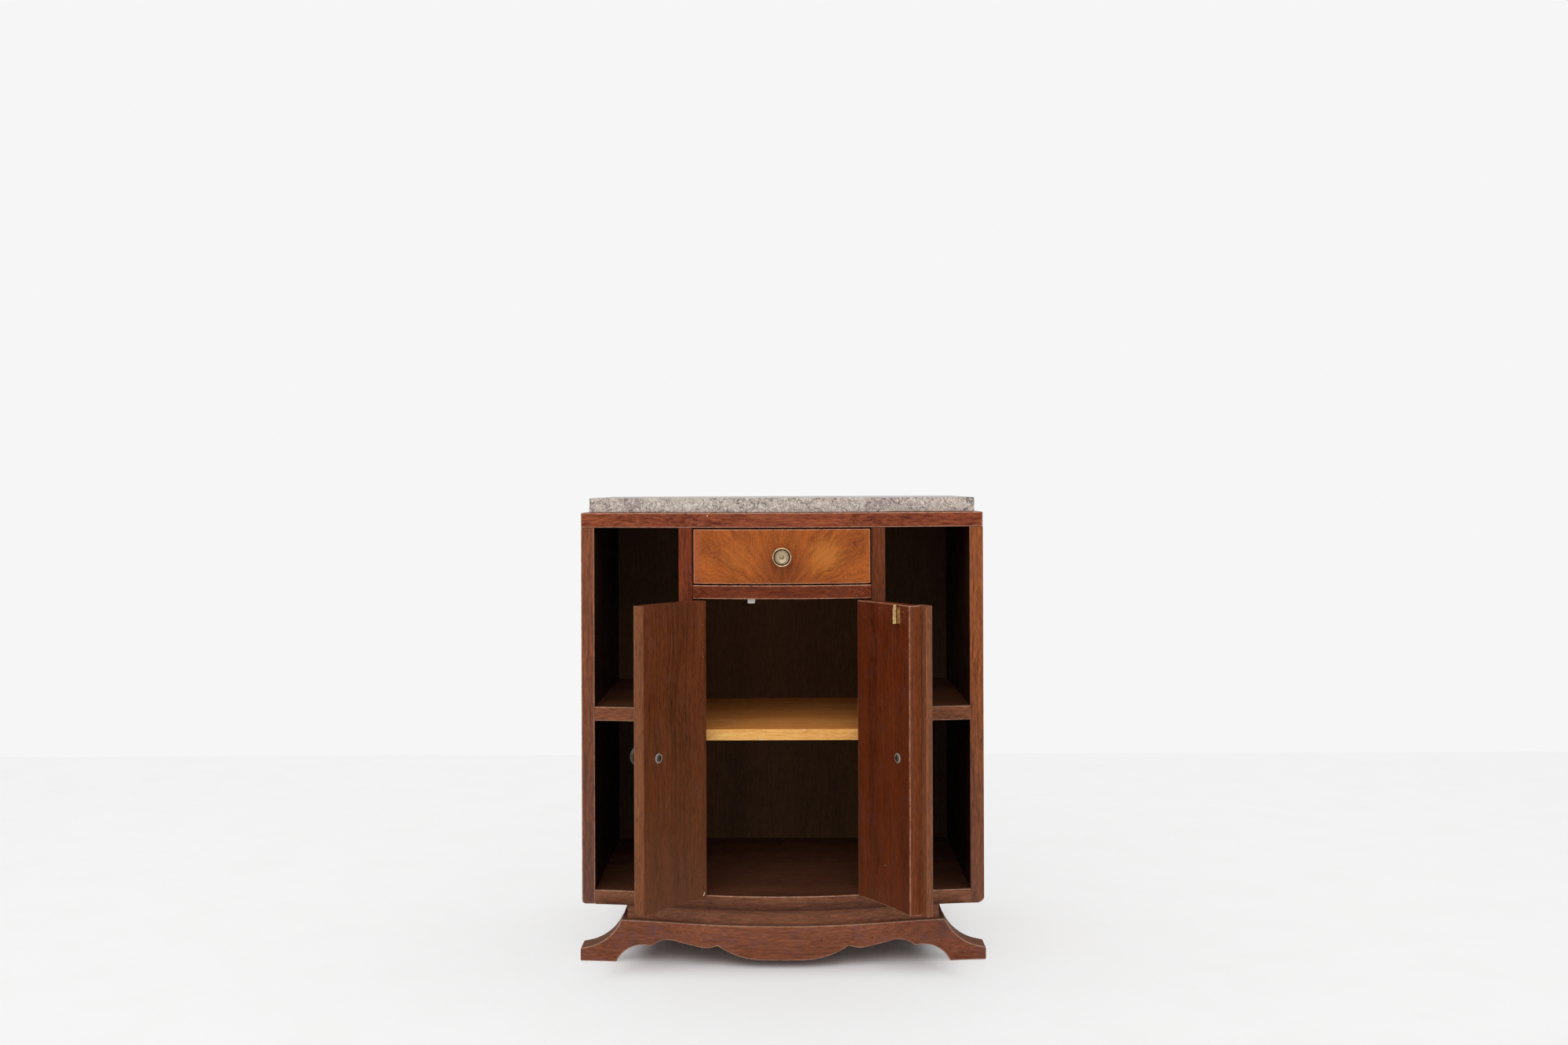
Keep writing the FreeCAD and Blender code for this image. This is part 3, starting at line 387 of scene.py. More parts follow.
def squeezed(tree, place, axis, share):
    """A pattern's place, squeezed along one axis."""
    scale = [share if letter == axis else 1.0 for letter in "xyz"]
    return add(tree, "ShaderNodeMapping", None, {"Vector": place, "Scale": scale}).outputs["Vector"]


def shaded(tone, share):
    """A colour at a share of its brightness."""
    return [share * part for part in tone]


def edge_wear(tree, nicks, least, most):
    """How far the arrises are rubbed through, in nicks and not evenly."""
    rubbed = ramp(tree, nicks, *NICK_RANGE, start=least, end=most)
    return maths(tree, "MULTIPLY", painted(tree, "arris"), rubbed)


def wood_grain(tree, kind, axis):
    """Grain along one axis: each board's own place in the pattern, its tone, and its open pores."""
    _, sizes = looks()
    shift = vectors(tree, "SCALE", BOARD_STEP, scale=painted(tree, "board"))
    own = vectors(tree, "ADD", object_place(tree), shift)
    wander = noise(tree, own, 1 / sizes.wander, detail=1.0, output="Color")
    bent = vectors(tree, "MULTIPLY_ADD", wander, [WANDER_REACH * sizes.streak] * 3, own)
    drawn = squeezed(tree, bent, axis, STREAK_SQUEEZE)
    tone = noise(tree, drawn, 1 / sizes.streak, detail=5.0, roughness=0.65)
    tone = plus(tree, tone, noise(tree, drawn, 1 / sizes.band), weight=BAND_WEIGHT)
    ticks = noise(tree, squeezed(tree, bent, axis, SPECK_SQUEEZE), 1 / sizes.speck)
    tone = plus(tree, tone, ticks, weight=SPECK_WEIGHT)
    half = CONTRAST.get(kind, 1.0) / 2
    grain = ramp(tree, tone, *GRAIN_RANGE, start=0.5 - half, end=0.5 + half)
    grit = noise(tree, squeezed(tree, bent, axis, PORE_SQUEEZE), 1 / sizes.pore, detail=1.0)
    return own, grain, ramp(tree, grit, *PORE_RANGE)


def polished_mahogany(kind, axis):
    """Old french-polished mahogany with its grain along one axis.

    Thin shellac over open-pored red-brown wood: a soft sheen rather than a mirror, dark pores, streaks of
    tone, patches where the polish is bruised, and pale lines where every arris is rubbed through.
    """
    name = f"{kind}_mahogany_{axis}"
    if name in bpy.data.materials:
        return bpy.data.materials[name]
    colours, sizes = looks()
    dark = getattr(colours, f"{kind}_dark")
    material, tree, shader = new_material(name)
    own, grain, pore = wood_grain(tree, kind, axis)
    base = blend(tree, grain, dark, getattr(colours, f"{kind}_light"))
    # Painted reflection of the pale floor in the lower polish, fading upwards
    if kind in FLOOR_REFLECTED:
        level = axes(tree, object_place(tree))["Z"]
        reflected = ramp(tree, level, *FLOOR_REFLECTION_RANGE, start=FLOOR_REFLECTED[kind], end=0.0)
        base = blend(tree, reflected, base, colours.door_haze if "door" in kind else colours.floor_reflection)
    # Painted light: the faces of a door's free edge take a lighter copy of its grain
    if kind.endswith("_door"):
        edge = kind.replace("door", "edge")
        pale = blend(tree, grain, getattr(colours, f"{edge}_dark"), getattr(colours, f"{edge}_light"))
        base = blend(tree, painted(tree, "edge"), base, pale)
    spots = noise(tree, own, 1 / sizes.patch, detail=4.0, roughness=0.6)
    bruise = ramp(tree, spots, low=0.5, high=0.75, end=0.6 if kind == "plinth" else 0.1)
    nicks = noise(tree, own, 1 / sizes.nick, detail=3.0, roughness=0.7)
    wear = edge_wear(tree, nicks, least=0.3, most=0.95)
    # Bruises, pores, wear and breaks are the wood's own; the inside share is painted shade, partly a dark
    # stain
    for share, tone in ((bruise, colours.bruise), (ramp(tree, pore, end=0.4), shaded(dark, share=0.45)),
                        (wear, colours.worn), (painted(tree, "inside"), colours.inside),
                        (painted(tree, "broken"), colours.bare)):
        base = blend(tree, share, base, tone)
    sheen = ramp(tree, spots, low=0.3, high=0.7, start=0.34, end=0.5)
    rough = plus(tree, sheen, wear, weight=0.25)
    if kind == "plinth":
        normal = add(tree, "ShaderNodeNewGeometry").outputs["Normal"]
        lying = ramp(tree, axes(tree, normal)["Z"], low=0.3, high=0.9, end=0.5)
        base = blend(tree, lying, base, colours.dust)
        rough = maths(tree, "ADD", lying, rough)
    relief = plus(tree, nicks, pore, weight=-0.7)
    surface(tree, shader, base, rough, specular=0.15, relief=relief, strength=0.3, depth=0.15 * MM)
    return material


# The unpolished woods' materials
BARE_WOODS = {"pine": "bare_pine", "raw": "raw_softwood", "back": "stained_softwood"}


def bare_wood(kind, axis):
    """Unpolished softwood, sawn and planed: dry and even, with soft streaks and brown soiling."""
    name = f"{BARE_WOODS[kind]}_{axis}"
    if name in bpy.data.materials:
        return bpy.data.materials[name]
    colours, sizes = looks()
    dark = getattr(colours, f"{kind}_dark")
    material, tree, shader = new_material(name)
    own, grain, pore = wood_grain(tree, kind, axis)
    base = blend(tree, grain, dark, getattr(colours, f"{kind}_light"))
    spots = noise(tree, own, 1 / sizes.patch, detail=4.0, roughness=0.65)
    soil = ramp(tree, spots, low=0.5, high=0.8, end=0.4)
    for share, tone in ((soil, shaded(dark, share=0.6)), (painted(tree, "amber"), colours.pine_amber),
                        (ramp(tree, pore, end=0.3), shaded(dark, share=0.5))):
        base = blend(tree, share, base, tone)
    rough = ramp(tree, grain, start=0.65, end=0.8)
    surface(tree, shader, base, rough, specular=0.2, relief=grain, strength=0.3, depth=0.2 * MM)
    return material


# Places on the drawer's front, outwards and upwards from the knob: ripples, dark root and a patch of painted
# sheen
RIPPLES_OUT = 50 * MM
ROOT_PLACE = (0, -22 * MM, 0)
SHEEN_PLACE = (66 * MM, 2 * MM, 0)
# Distances from these places up to which each is full, and at which it has faded
RIPPLES_REACH = (8 * MM, 26 * MM)
ROOT_REACH = (14 * MM, 52 * MM)
SHEEN_REACH = (-14 * MM, 22 * MM)
# How far the streaks pull the patch's rim
SHEEN_RAG = -30 * MM
# Heights between which the darker lower part ends, and places between which the left end's band does
LOW_RANGE = (-42 * MM, -18 * MM)
END_RANGE = (-124 * MM, -122 * MM)
# The cracked corner: its place outwards, forwards and upwards, its reach, and the size of the cracks
CRACKS_PLACE = Vector((112, -127, 24)) * MM
CRACKS_REACH = (9 * MM, 15 * MM)
CRACKS_SIZE = 11 * MM
# How closely the fan's streaks lie across and along its rays, and how closely its bands lie beside them
FAN_ACROSS, FAN_ALONG, FAN_BANDS = 1.5, 0.16, 0.22


def figured_veneer(level):
    """Flame-figured mahogany veneer, bookmatched about the knob, under old shellac.

    The two mirrored leaves give a fan of diagonal streaks that rise outwards from below the knob, with
    yellow patches of painted sheen where the fibres turn towards the eye, fine ripples across them, and a
    dark root behind the knob.
    """
    colours, sizes = looks()
    material, tree, shader = new_material("figured_veneer")
    place = object_place(tree)
    parts = axes(tree, place)
    out = maths(tree, "ABSOLUTE", parts["X"])
    rise = maths(tree, "SUBTRACT", parts["Z"], level)
    right = ramp(tree, parts["X"], low=-MM, high=MM)
    # The fan's streaks run along rays from a point below the knob, with a pattern for each leaf
    up = maths(tree, "ADD", rise, sizes.fan)
    flat = joined(tree, out, up)
    sway = noise(tree, flat, 1 / sizes.patch)
    bent = plus(tree, maths(tree, "ARCTAN2", out, up), sway, weight=0.16)
    across = maths(tree, "MULTIPLY", bent, FAN_ACROSS * sizes.fan / sizes.streak)
    along = maths(tree, "MULTIPLY", vectors(tree, "LENGTH", flat), FAN_ALONG / sizes.streak)
    fan = joined(tree, across, along, ramp(tree, right, end=0.4))
    streak = noise(tree, fan, 1.0, detail=4.0, roughness=0.6)
    figure = plus(tree, streak, noise(tree, fan, FAN_BANDS), weight=1.1)
    figure = plus(tree, figure, noise(tree, place, 1 / sizes.speck), weight=0.7)
    # Ripples across it, strongest halfway to the ends
    phase = maths(tree, "MULTIPLY", out, FULL_TURN / sizes.ripple)
    wave = maths(tree, "SINE", plus(tree, phase, sway, weight=14.0))
    away = maths(tree, "ABSOLUTE", maths(tree, "SUBTRACT", out, RIPPLES_OUT))
    rippled = ramp(tree, away, *RIPPLES_REACH, start=0.07, end=0.01, smooth=True)
    figure = plus(tree, figure, wave, weight=rippled)
    # The root behind the knob and the lower part are darker
    front = joined(tree, out, rise)
    from_root = vectors(tree, "DISTANCE", front, ROOT_PLACE)
    root = ramp(tree, from_root, *ROOT_REACH, start=0.24, end=0.0, smooth=True)
    low = ramp(tree, rise, *LOW_RANGE, start=0.08, end=0.0, smooth=True)
    for darker in (root, low):
        figure = maths(tree, "SUBTRACT", figure, darker)
    base = blend(tree, ramp(tree, figure, low=1.0, high=1.8), colours.veneer_dark, colours.veneer_light)
    # Painted sheen: yellow patches where the figure catches the light, stronger on the right leaf
    ragged = plus(tree, vectors(tree, "DISTANCE", front, SHEEN_PLACE), streak, weight=SHEEN_RAG)
    most = ramp(tree, right, start=0.15, end=0.5)
    near = ramp(tree, ragged, *SHEEN_REACH, start=most, end=0.0, smooth=True)
    # Cracks in the polish of the left end and of one corner
    end = ramp(tree, parts["X"], *END_RANGE, start=0.7, end=0.0)
    crazing = ridge(tree, noise(tree, place, 1 / CRACKS_SIZE, distortion=1.0))
    line = ramp(tree, crazing, low=0.006, high=0.024, start=0.8, end=0.0)
    from_corner = vectors(tree, "DISTANCE", place, CRACKS_PLACE + Vector((0, 0, level)))
    corner = ramp(tree, from_corner, *CRACKS_REACH, start=1.0, end=0.0)
    cracks = maths(tree, "MULTIPLY", line, maths(tree, "MAXIMUM", end, corner))
    wear = edge_wear(tree, noise(tree, place, 1 / sizes.nick, detail=3.0), least=0.25, most=0.65)
    for share, tone in ((near, colours.veneer_sheen), (end, colours.veneer_end), (cracks, colours.crack),
                        (wear, colours.worn)):
        base = blend(tree, share, base, tone)
    rough = ramp(tree, sway, low=0.3, high=0.7, start=0.3, end=0.42)
    surface(tree, shader, base, rough, specular=0.15, relief=streak, strength=0.15, depth=0.1 * MM)
    return material


# Lines of the marble: the size that spaces them, how wide they are in the noise, and how dark
MARBLE_LINES = (("vein", 0.02, 0.8), ("thread", 0.045, 0.6))
# How far the pattern is swirled, in spacings of the veins, and how many wisps of mist go to a thread
SWIRL_REACH, MIST_WISPS = 0.5, 1.2
# Share of the flecks that stay away
NO_FLECK = 0.6


def grey_marble():
    """Grey-beige marble, honed and dulled by age.

    A cloudy ground with mauve patches, thin dark veins that wriggle, finer threads between them and cream
    flecks.
    """
    colours, sizes = looks()
    material, tree, shader = new_material("grey_marble")
    place = object_place(tree)
    swirl = noise(tree, place, 1 / sizes.vein, output="Color")
    bent = vectors(tree, "MULTIPLY_ADD", swirl, [SWIRL_REACH * sizes.vein] * 3, place)
    mass = noise(tree, bent, 1 / sizes.cloud, detail=4.0, roughness=0.6)
    mist = noise(tree, bent, MIST_WISPS / sizes.thread, detail=4.0, roughness=0.65)
    mauve = ramp(tree, mass, low=0.48, high=0.66, end=0.75)
    base = blend(tree, mauve, colours.marble_ground, colours.marble_mauve)
    base = blend(tree, ramp(tree, mist, low=0.48, high=0.7, end=0.7), base, colours.marble_pale)
    for size, width, depth in MARBLE_LINES:
        field = noise(tree, bent, 1 / getattr(sizes, size), detail=4.0, roughness=0.6)
        line = ramp(tree, ridge(tree, field), high=width, start=depth, end=0.0)
        base = blend(tree, line, base, colours.marble_vein)
    cell = add(tree, "ShaderNodeTexVoronoi", None, {"Vector": bent, "Scale": 1 / sizes.fleck}).outputs
    spot = ramp(tree, cell["Distance"], low=0.12, high=0.26, start=0.8, end=0.0)
    chance = add(tree, "ShaderNodeSeparateColor", None, {"Color": cell["Color"]}).outputs["Red"]
    fleck = maths(tree, "MULTIPLY", spot, maths(tree, "GREATER_THAN", chance, NO_FLECK))
    base = blend(tree, fleck, base, colours.marble_pale)
    rough = ramp(tree, mist, low=0.3, high=0.7, start=0.35, end=0.5)
    surface(tree, shader, base, rough, specular=0.3, relief=mist, strength=0.1, depth=0.1 * MM)
    return material


def worn_metal(kind):
    """Turned or stamped metal that is handled: bright where hands rub it, dull and dirty in its grooves.

    Metal that isn't clean carries a grey film, which scatters light instead of mirroring the room.
    """
    name, smooth, rough, clean = METALS[kind]
    if name in bpy.data.materials:
        return bpy.data.materials[name]
    colours, sizes = looks()
    material, tree, shader = new_material(name)
    stain = noise(tree, object_place(tree), 1 / sizes.tarnish, detail=5.0, roughness=0.65)
    film = ramp(tree, stain, low=0.42, high=0.75, end=0.8)
    dirt = maths(tree, "MAXIMUM", film, painted(tree, "groove"))
    base = blend(tree, dirt, getattr(colours, f"{kind}_bright"), getattr(colours, f"{kind}_dull"))
    shader.inputs["Metallic"].default_value = clean
    surface(tree, shader, base, ramp(tree, dirt, start=smooth, end=rough), relief=stain, strength=0.15,
            depth=0.1 * MM)
    return material


def soiled_paint(name, clean, soiled, spacing):
    """Old oil paint, brushed on and rubbed: an even tone with soft grey marks."""
    material, tree, shader = new_material(name)
    marks = noise(tree, object_place(tree), 1 / spacing, detail=5.0, roughness=0.6)
    base = blend(tree, ramp(tree, marks, low=0.45, high=0.75), clean, soiled)
    surface(tree, shader, base, ramp(tree, marks, start=0.5, end=0.7), specular=0.25)
    return material


def pale_floor():
    """Smooth painted concrete under soft light: nearly even, with faint scuffs.

    For the camera and for mirrors part of it is its own pale colour, so that it stays as bright as the
    backdrop; the rest takes the light and keeps the cabinet's shadow.
    """
    colours, _ = looks()
    material = soiled_paint("painted_concrete", colours.floor, colours.floor_mark, FLOOR_MARKS)
    tree = material.node_tree
    output = next(node for node in tree.nodes if node.type == "OUTPUT_MATERIAL")
    shader = next(node for node in tree.nodes if node.type == "BSDF_PRINCIPLED")
    parts = axes(tree, vectors(tree, "ABSOLUTE", object_place(tree)))
    beside, before = (ramp(tree, parts[axis], near, far, smooth=True) for axis, near, far in FOOTPRINT)
    most = maths(tree, "MULTIPLY", maths(tree, "MAXIMUM", beside, before), FLOOR_GLOW)
    share = maths(tree, "MULTIPLY", seen(tree), most)
    glow = add(tree, "ShaderNodeEmission", None, {"Color": rgba(colours.backdrop), "Strength": 1.0})
    mixed = add(tree, "ShaderNodeMixShader", None,
                {0: share, 1: shader.outputs["BSDF"], 2: glow.outputs["Emission"]})
    tree.links.new(mixed.outputs["Shader"], output.inputs["Surface"])
    return material


def stand_for(piece, node):
    """Let a piece take a CAD node's body and place, and hide the node."""
    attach(piece, frame["nodes"][node]["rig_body"])
    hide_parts(node)


def linked(name, mesh):
    """A new object in the scene with this mesh."""
    piece = bpy.data.objects.new(name, mesh)
    bpy.context.scene.collection.objects.link(piece)
    return piece


# Sides of a board's own box that lie against another board: the edges there stay sharp
JOINED = {
    "left_side": "z+", "right_side": "z+", "left_partition": "z+ z-", "right_partition": "z+ z-",
    "case_bottom": "x+ x- z-", "left_side_shelf": "x+ x- y+", "right_side_shelf": "x+ x- y+",
    "drawer_rail": "x+ x-", "centre_shelf": "x+ x- y+",
    "neck_front": "z+ z- x+ x-", "neck_back": "z+ z- x+ x-", "neck_left": "z+ z-", "neck_right": "z+ z-",
    "plinth_apron": "y+", "plinth_left": "y- y+", "plinth_right": "y- y+", "plinth_back": "y-",
}


def in_joint(node, edge):
    """Whether an edge of a board lies in one of its joints."""
    low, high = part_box(node)
    for letter, end in JOINED.get(node, "").split():
        axis = "xyz".index(letter)
        level = high[axis] if end == "+" else low[axis]
        if all(abs(vert.co[axis] - level) < ON_LEVEL for vert in edge.verts):
            return True
    return False


def arrises(node, shape, reach):
    """The sharp edges of a board that wear round: none in a joint, round a bore or beside a narrow face."""
    left = {edge for edge in shape.edges if len(edge.link_faces) == 2 and edge.calc_face_angle() > SHARP
            and not in_joint(node, edge)}
    kept = []
    while left:
        chain, ends = [], [left.pop()]
        while ends:
            edge = ends.pop()
            chain.append(edge)
            near = {other for vert in edge.verts for other in vert.link_edges} & left
            left -= near
            ends.extend(near)
        if sum(edge.calc_length() for edge in chain) > LEAST_OUTLINE:
            kept.extend(chain)
    wide = {edge for edge in kept
            if all(face.calc_area() > 2 * reach * edge.calc_length() for face in edge.link_faces)}
    return [edge for edge in kept if edge in wide
            and not any(other.calc_length() < reach and other not in wide
                        for vert in edge.verts for other in vert.link_edges)]


def finished_board(node, material, arris=None, breaks=()):
    """A copy of a CAD node in one finish, with rounded edges and attributes for its wear and its own grain.

    A break is a point, a direction and how fresh it is: what lies beyond the plane there has come off.
    """
    reach = looks()[1].arris if arris is None else arris
    mesh = frame["nodes"][node].data.copy()
    shape = bmesh.new()
    shape.from_mesh(mesh)
    bmesh.ops.remove_doubles(shape, verts=shape.verts, dist=MERGE)
    bmesh.ops.dissolve_limit(shape, angle_limit=FLAT, verts=shape.verts, edges=shape.edges)
    shape.normal_update()
    worn, board, broken = (shape.faces.layers.float.new(name) for name in ("arris", "board", "broken"))
    for point, away, fresh in breaks:
        cut = bmesh.ops.bisect_plane(shape, geom=[*shape.verts, *shape.edges, *shape.faces], plane_co=point,
                                     plane_no=away, clear_outer=True)
        rim = [item for item in cut["geom_cut"] if isinstance(item, bmesh.types.BMEdge)]
        for face in bmesh.ops.edgeloop_fill(shape, edges=rim)["faces"]:
            face[broken] = fresh
    made = bmesh.ops.bevel(shape, geom=arrises(node, shape, reach), offset=reach, offset_type="OFFSET",
                           segments=ARRIS_STEPS, profile=0.5, affect="EDGES", clamp_overlap=True)
    for face in made["faces"]:
        face[worn] = 1.0
    own = sum(node.encode()) % BOARD_PLACES / PLACES_TO_STEP
    for face in shape.faces:
        face.smooth = True
        face[board] = own
    shape.to_mesh(mesh)
    shape.free()
    mesh.set_sharp_from_angle(angle=CREASE)
    mesh.materials.clear()
    piece = linked(f"{node}.finished", mesh)
    # Large faces keep their own normals, so that only the rounded edges shade round
    piece.modifiers.new("flat faces", "WEIGHTED_NORMAL").keep_sharp = True
    piece.data = bpy.data.meshes.new_from_object(piece.evaluated_get(bpy.context.evaluated_depsgraph_get()))
    piece.modifiers.clear()
    stand_for(piece, node)
    piece.data.materials.append(material)
    return piece


def turned(name, profile, seat, axis):
    """A piece turned about an axis; a profile's rows hold radius, height above the seat and dirt."""
    shape = bmesh.new()
    groove = shape.faces.layers.float.new("groove")
    side = axis.orthogonal().normalized()
    other = axis.cross(side)
    turns = [FULL_TURN * step / TURN_STEPS for step in range(TURN_STEPS)]
    rings = []
    for radius, height, dirt in profile:
        middle = seat + axis * height
        if radius < MERGE:
            places = [middle]
        else:
            places = [middle + radius * (math.cos(turn) * side + math.sin(turn) * other) for turn in turns]
        rings.append(([shape.verts.new(place) for place in places], dirt))
    for (low, dirt), (high, more) in zip(rings, rings[1:]):
        for step in range(TURN_STEPS):
            corners = [low[step % len(low)], low[(step + 1) % len(low)],
                       high[(step + 1) % len(high)], high[step % len(high)]]
            face = shape.faces.new(list(dict.fromkeys(corners)))
            face.smooth = True
            face[groove] = (dirt + more) / 2
    bmesh.ops.recalc_face_normals(shape, faces=shape.faces)
    mesh = bpy.data.meshes.new(name)
    shape.to_mesh(mesh)
    shape.free()
    mesh.set_sharp_from_angle(angle=CREASE)
    return linked(name, mesh)


def grown(name, tree, rows, values, body):
    """Run a geometry tree on points, and keep what it makes as a plain mesh that rides on a body.

    A row holds a place, the direction that its surface faces, and a size.
    """
    mesh = bpy.data.meshes.new(name)
    mesh.from_pydata([row[0] for row in rows], [], [])
    mesh.attributes.new("facing", "FLOAT_VECTOR", "POINT")
    mesh.attributes.new("size", "FLOAT", "POINT")
    for index, (_, facing, size) in enumerate(rows):
        mesh.attributes["facing"].data[index].vector = facing
        mesh.attributes["size"].data[index].value = size
    piece = linked(name, mesh)
    modifier = piece.modifiers.new(name, "NODES")
    modifier.node_group = tree
    sockets = {item.name: item.identifier for item in tree.interface.items_tree if item.in_out == "INPUT"}
    for title, value in values.items():
        modifier[sockets[title]] = value
    graph = bpy.context.evaluated_depsgraph_get()
    made = bpy.data.meshes.new_from_object(piece.evaluated_get(graph))
    piece.modifiers.clear()
    piece.data = made
    for face in made.polygons:
        face.use_smooth = True
    made.set_sharp_from_angle(angle=CREASE)
    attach(piece, body)
    return piece


def new_tree(name, inputs):
    """An empty geometry tree that takes places and named inputs, with the sockets that give them."""
    tree = bpy.data.node_groups.new(name, "GeometryNodeTree")
    tree.interface.new_socket("Places", in_out="INPUT", socket_type="NodeSocketGeometry")
    for title, kind in inputs.items():
        tree.interface.new_socket(title, in_out="INPUT", socket_type=f"NodeSocket{kind}")
    tree.interface.new_socket("Made", in_out="OUTPUT", socket_type="NodeSocketGeometry")
    return tree, add(tree, "NodeGroupInput").outputs


def carried(tree, name, kind):
    """What the points carry in the attribute of this name."""
    return add(tree, "GeometryNodeInputNamedAttribute", {"data_type": kind}, {"Name": name}).outputs[0]


def stood(tree, given, instance, **more):
    """One real copy of the instance on every place, which stands on its surface and is spun by chance."""
    stand = add(tree, "FunctionNodeAlignRotationToVector", {"axis": "Z"},
                {"Vector": carried(tree, "facing", "FLOAT_VECTOR")}).outputs[0]
    chance = add(tree, "FunctionNodeRandomValue", {"data_type": "FLOAT"},
                 {2: 0.0, 3: FULL_TURN, "Seed": given["Seed"]}).outputs[1]
    spin = add(tree, "FunctionNodeAxisAngleToRotation", None, {"Axis": (0, 0, 1), "Angle": chance}).outputs[0]
    turn = add(tree, "FunctionNodeRotateRotation", {"rotation_space": "LOCAL"},
               {"Rotation": stand, "Rotate By": spin}).outputs[0]
    placed = add(tree, "GeometryNodeInstanceOnPoints", None,
                 {"Points": given["Places"], "Instance": instance, "Rotation": turn, **more})
    return add(tree, "GeometryNodeRealizeInstances", None,
               {"Geometry": placed.outputs["Instances"]}).outputs["Geometry"]


def hand_out(tree, given, shape):
    """End a geometry tree with its shape in the finish that it was given."""
    done = add(tree, "GeometryNodeSetMaterial", None, {"Geometry": shape, "Material": given["Finish"]})
    add(tree, "NodeGroupOutput", None, {"Made": done.outputs["Geometry"]})
    return tree


# A screw head's steps round and up, and the bar that cuts its slot: head radii across and slot depths high
HEAD_ROUND, HEAD_UP = 28, 14
BAR_ACROSS, BAR_HIGH = 3.0, 2.0


def screw_tree():
    """Geometry tree that sets a domed, slotted screw head on every place."""
    if "slotted_screws" in bpy.data.node_groups:
        return bpy.data.node_groups["slotted_screws"]
    tree, given = new_tree("slotted_screws", {
        "Head radius": "Float", "Head rise": "Float", "Slot width": "Float", "Slot depth": "Float",
        "Seed": "Int", "Finish": "Material"})
    ball = add(tree, "GeometryNodeMeshUVSphere", None,
               {"Segments": HEAD_ROUND, "Rings": HEAD_UP, "Radius": 1.0}).outputs["Mesh"]
    reach = joined(tree, given["Head radius"], given["Head radius"], given["Head rise"])
    head = add(tree, "GeometryNodeTransform", None, {"Geometry": ball, "Scale": reach}).outputs["Geometry"]
    across = maths(tree, "MULTIPLY", given["Head radius"], BAR_ACROSS)
    high = maths(tree, "MULTIPLY", given["Slot depth"], BAR_HIGH)
    bar = add(tree, "GeometryNodeMeshCube", None,
              {"Size": joined(tree, across, given["Slot width"], high)}).outputs["Mesh"]
    raised = add(tree, "GeometryNodeTransform", None,
                 {"Geometry": bar, "Translation": joined(tree, z=given["Head rise"])}).outputs["Geometry"]
    slotted = add(tree, "GeometryNodeMeshBoolean", {"operation": "DIFFERENCE"},
                  {"Mesh 1": head, "Mesh 2": raised}).outputs["Mesh"]
    return hand_out(tree, given, stood(tree, given, slotted))


# A flake's corners, and its upper side as a share of its lower one
FLAKE_CORNERS, FLAKE_TOP = 14, 0.75


def chip_tree():
    """Geometry tree that lays a thin ragged flake on every place."""
    if "ragged_chips" in bpy.data.node_groups:
        return bpy.data.node_groups["ragged_chips"]
    tree, given = new_tree("ragged_chips", {
        "Thickness": "Float", "Raggedness": "Float", "Grit": "Float", "Seed": "Int", "Finish": "Material"})
    flake = add(tree, "GeometryNodeMeshCone", None,
                {"Vertices": FLAKE_CORNERS, "Radius Top": FLAKE_TOP, "Radius Bottom": 1.0,
                 "Depth": given["Thickness"]}).outputs["Mesh"]
    facing, size = carried(tree, "facing", "FLOAT_VECTOR"), carried(tree, "size", "FLOAT")
    real = stood(tree, given, flake, Scale=size)
    # The rim moves to and fro along the surface, and not away from it
    place = add(tree, "GeometryNodeInputPosition").outputs[0]
    cloud = noise(tree, place, maths(tree, "DIVIDE", 1.0, given["Grit"]), output="Color")
    middle = vectors(tree, "SUBTRACT", cloud, (0.5, 0.5, 0.5))
    upward = vectors(tree, "SCALE", facing, scale=vectors(tree, "DOT_PRODUCT", middle, facing))
    offset = vectors(tree, "SCALE", vectors(tree, "SUBTRACT", middle, upward),
                     scale=maths(tree, "MULTIPLY", size, given["Raggedness"]))
    ragged = add(tree, "GeometryNodeSetPosition", None, {"Geometry": real, "Offset": offset})
    return hand_out(tree, given, ragged.outputs["Geometry"])


def middle_of(node):
    """The middle of a turned CAD node, which lies on its axis."""
    points = {tuple(round(part, 7) for part in vert.co) for vert in frame["nodes"][node].data.vertices}
    return sum((Vector(point) for point in points), Vector()) / len(points)


def hinge(side):
    """The joint of one door."""
    return next(joint for joint in frame["joints"] if joint["name"] == f"{side}_door_hinge")


def door_turn(side):
    """The turn about the hinge pins from where a door is closed to where it stands open at rest."""
    joint = hinge(side)
    pin = Vector(joint["pos_m"])
    closing = math.radians(max(joint["range_deg"], key=abs))
    turn = Matrix.Rotation(-closing, 4, Vector(joint["axis"]))
    return Matrix.Translation(pin) @ turn @ Matrix.Translation(-pin)


def mark(piece, name, value, way, least):
    """Let the faces of a piece that look this way carry a value."""
    layer = piece.data.attributes.get(name) or piece.data.attributes.new(name, "FLOAT", "FACE")
    for face in piece.data.polygons:
        if face.normal.dot(way) > least:
            layer.data[face.index].value = value


# Faces inside the case, darkened by stain and painted shade: the board, the direction that they face, and how
# dark they are
INSIDE_SHADE = (
    ("left_side", (1, 0, 0), 0.9), ("right_side", (-1, 0, 0), 0.9),
    ("left_partition", (-1, 0, 0), 0.9), ("left_partition", (1, 0, 0), 0.6),
    ("right_partition", (1, 0, 0), 0.9), ("right_partition", (-1, 0, 0), 0.6),
    ("left_side_shelf", (0, 0, -1), 0.8), ("left_side_shelf", (0, 0, 1), 0.6),
    ("right_side_shelf", (0, 0, -1), 0.8), ("right_side_shelf", (0, 0, 1), 0.6),
    ("case_top", (0, 0, -1), 0.8), ("case_bottom", (0, 0, 1), 0.5),
)


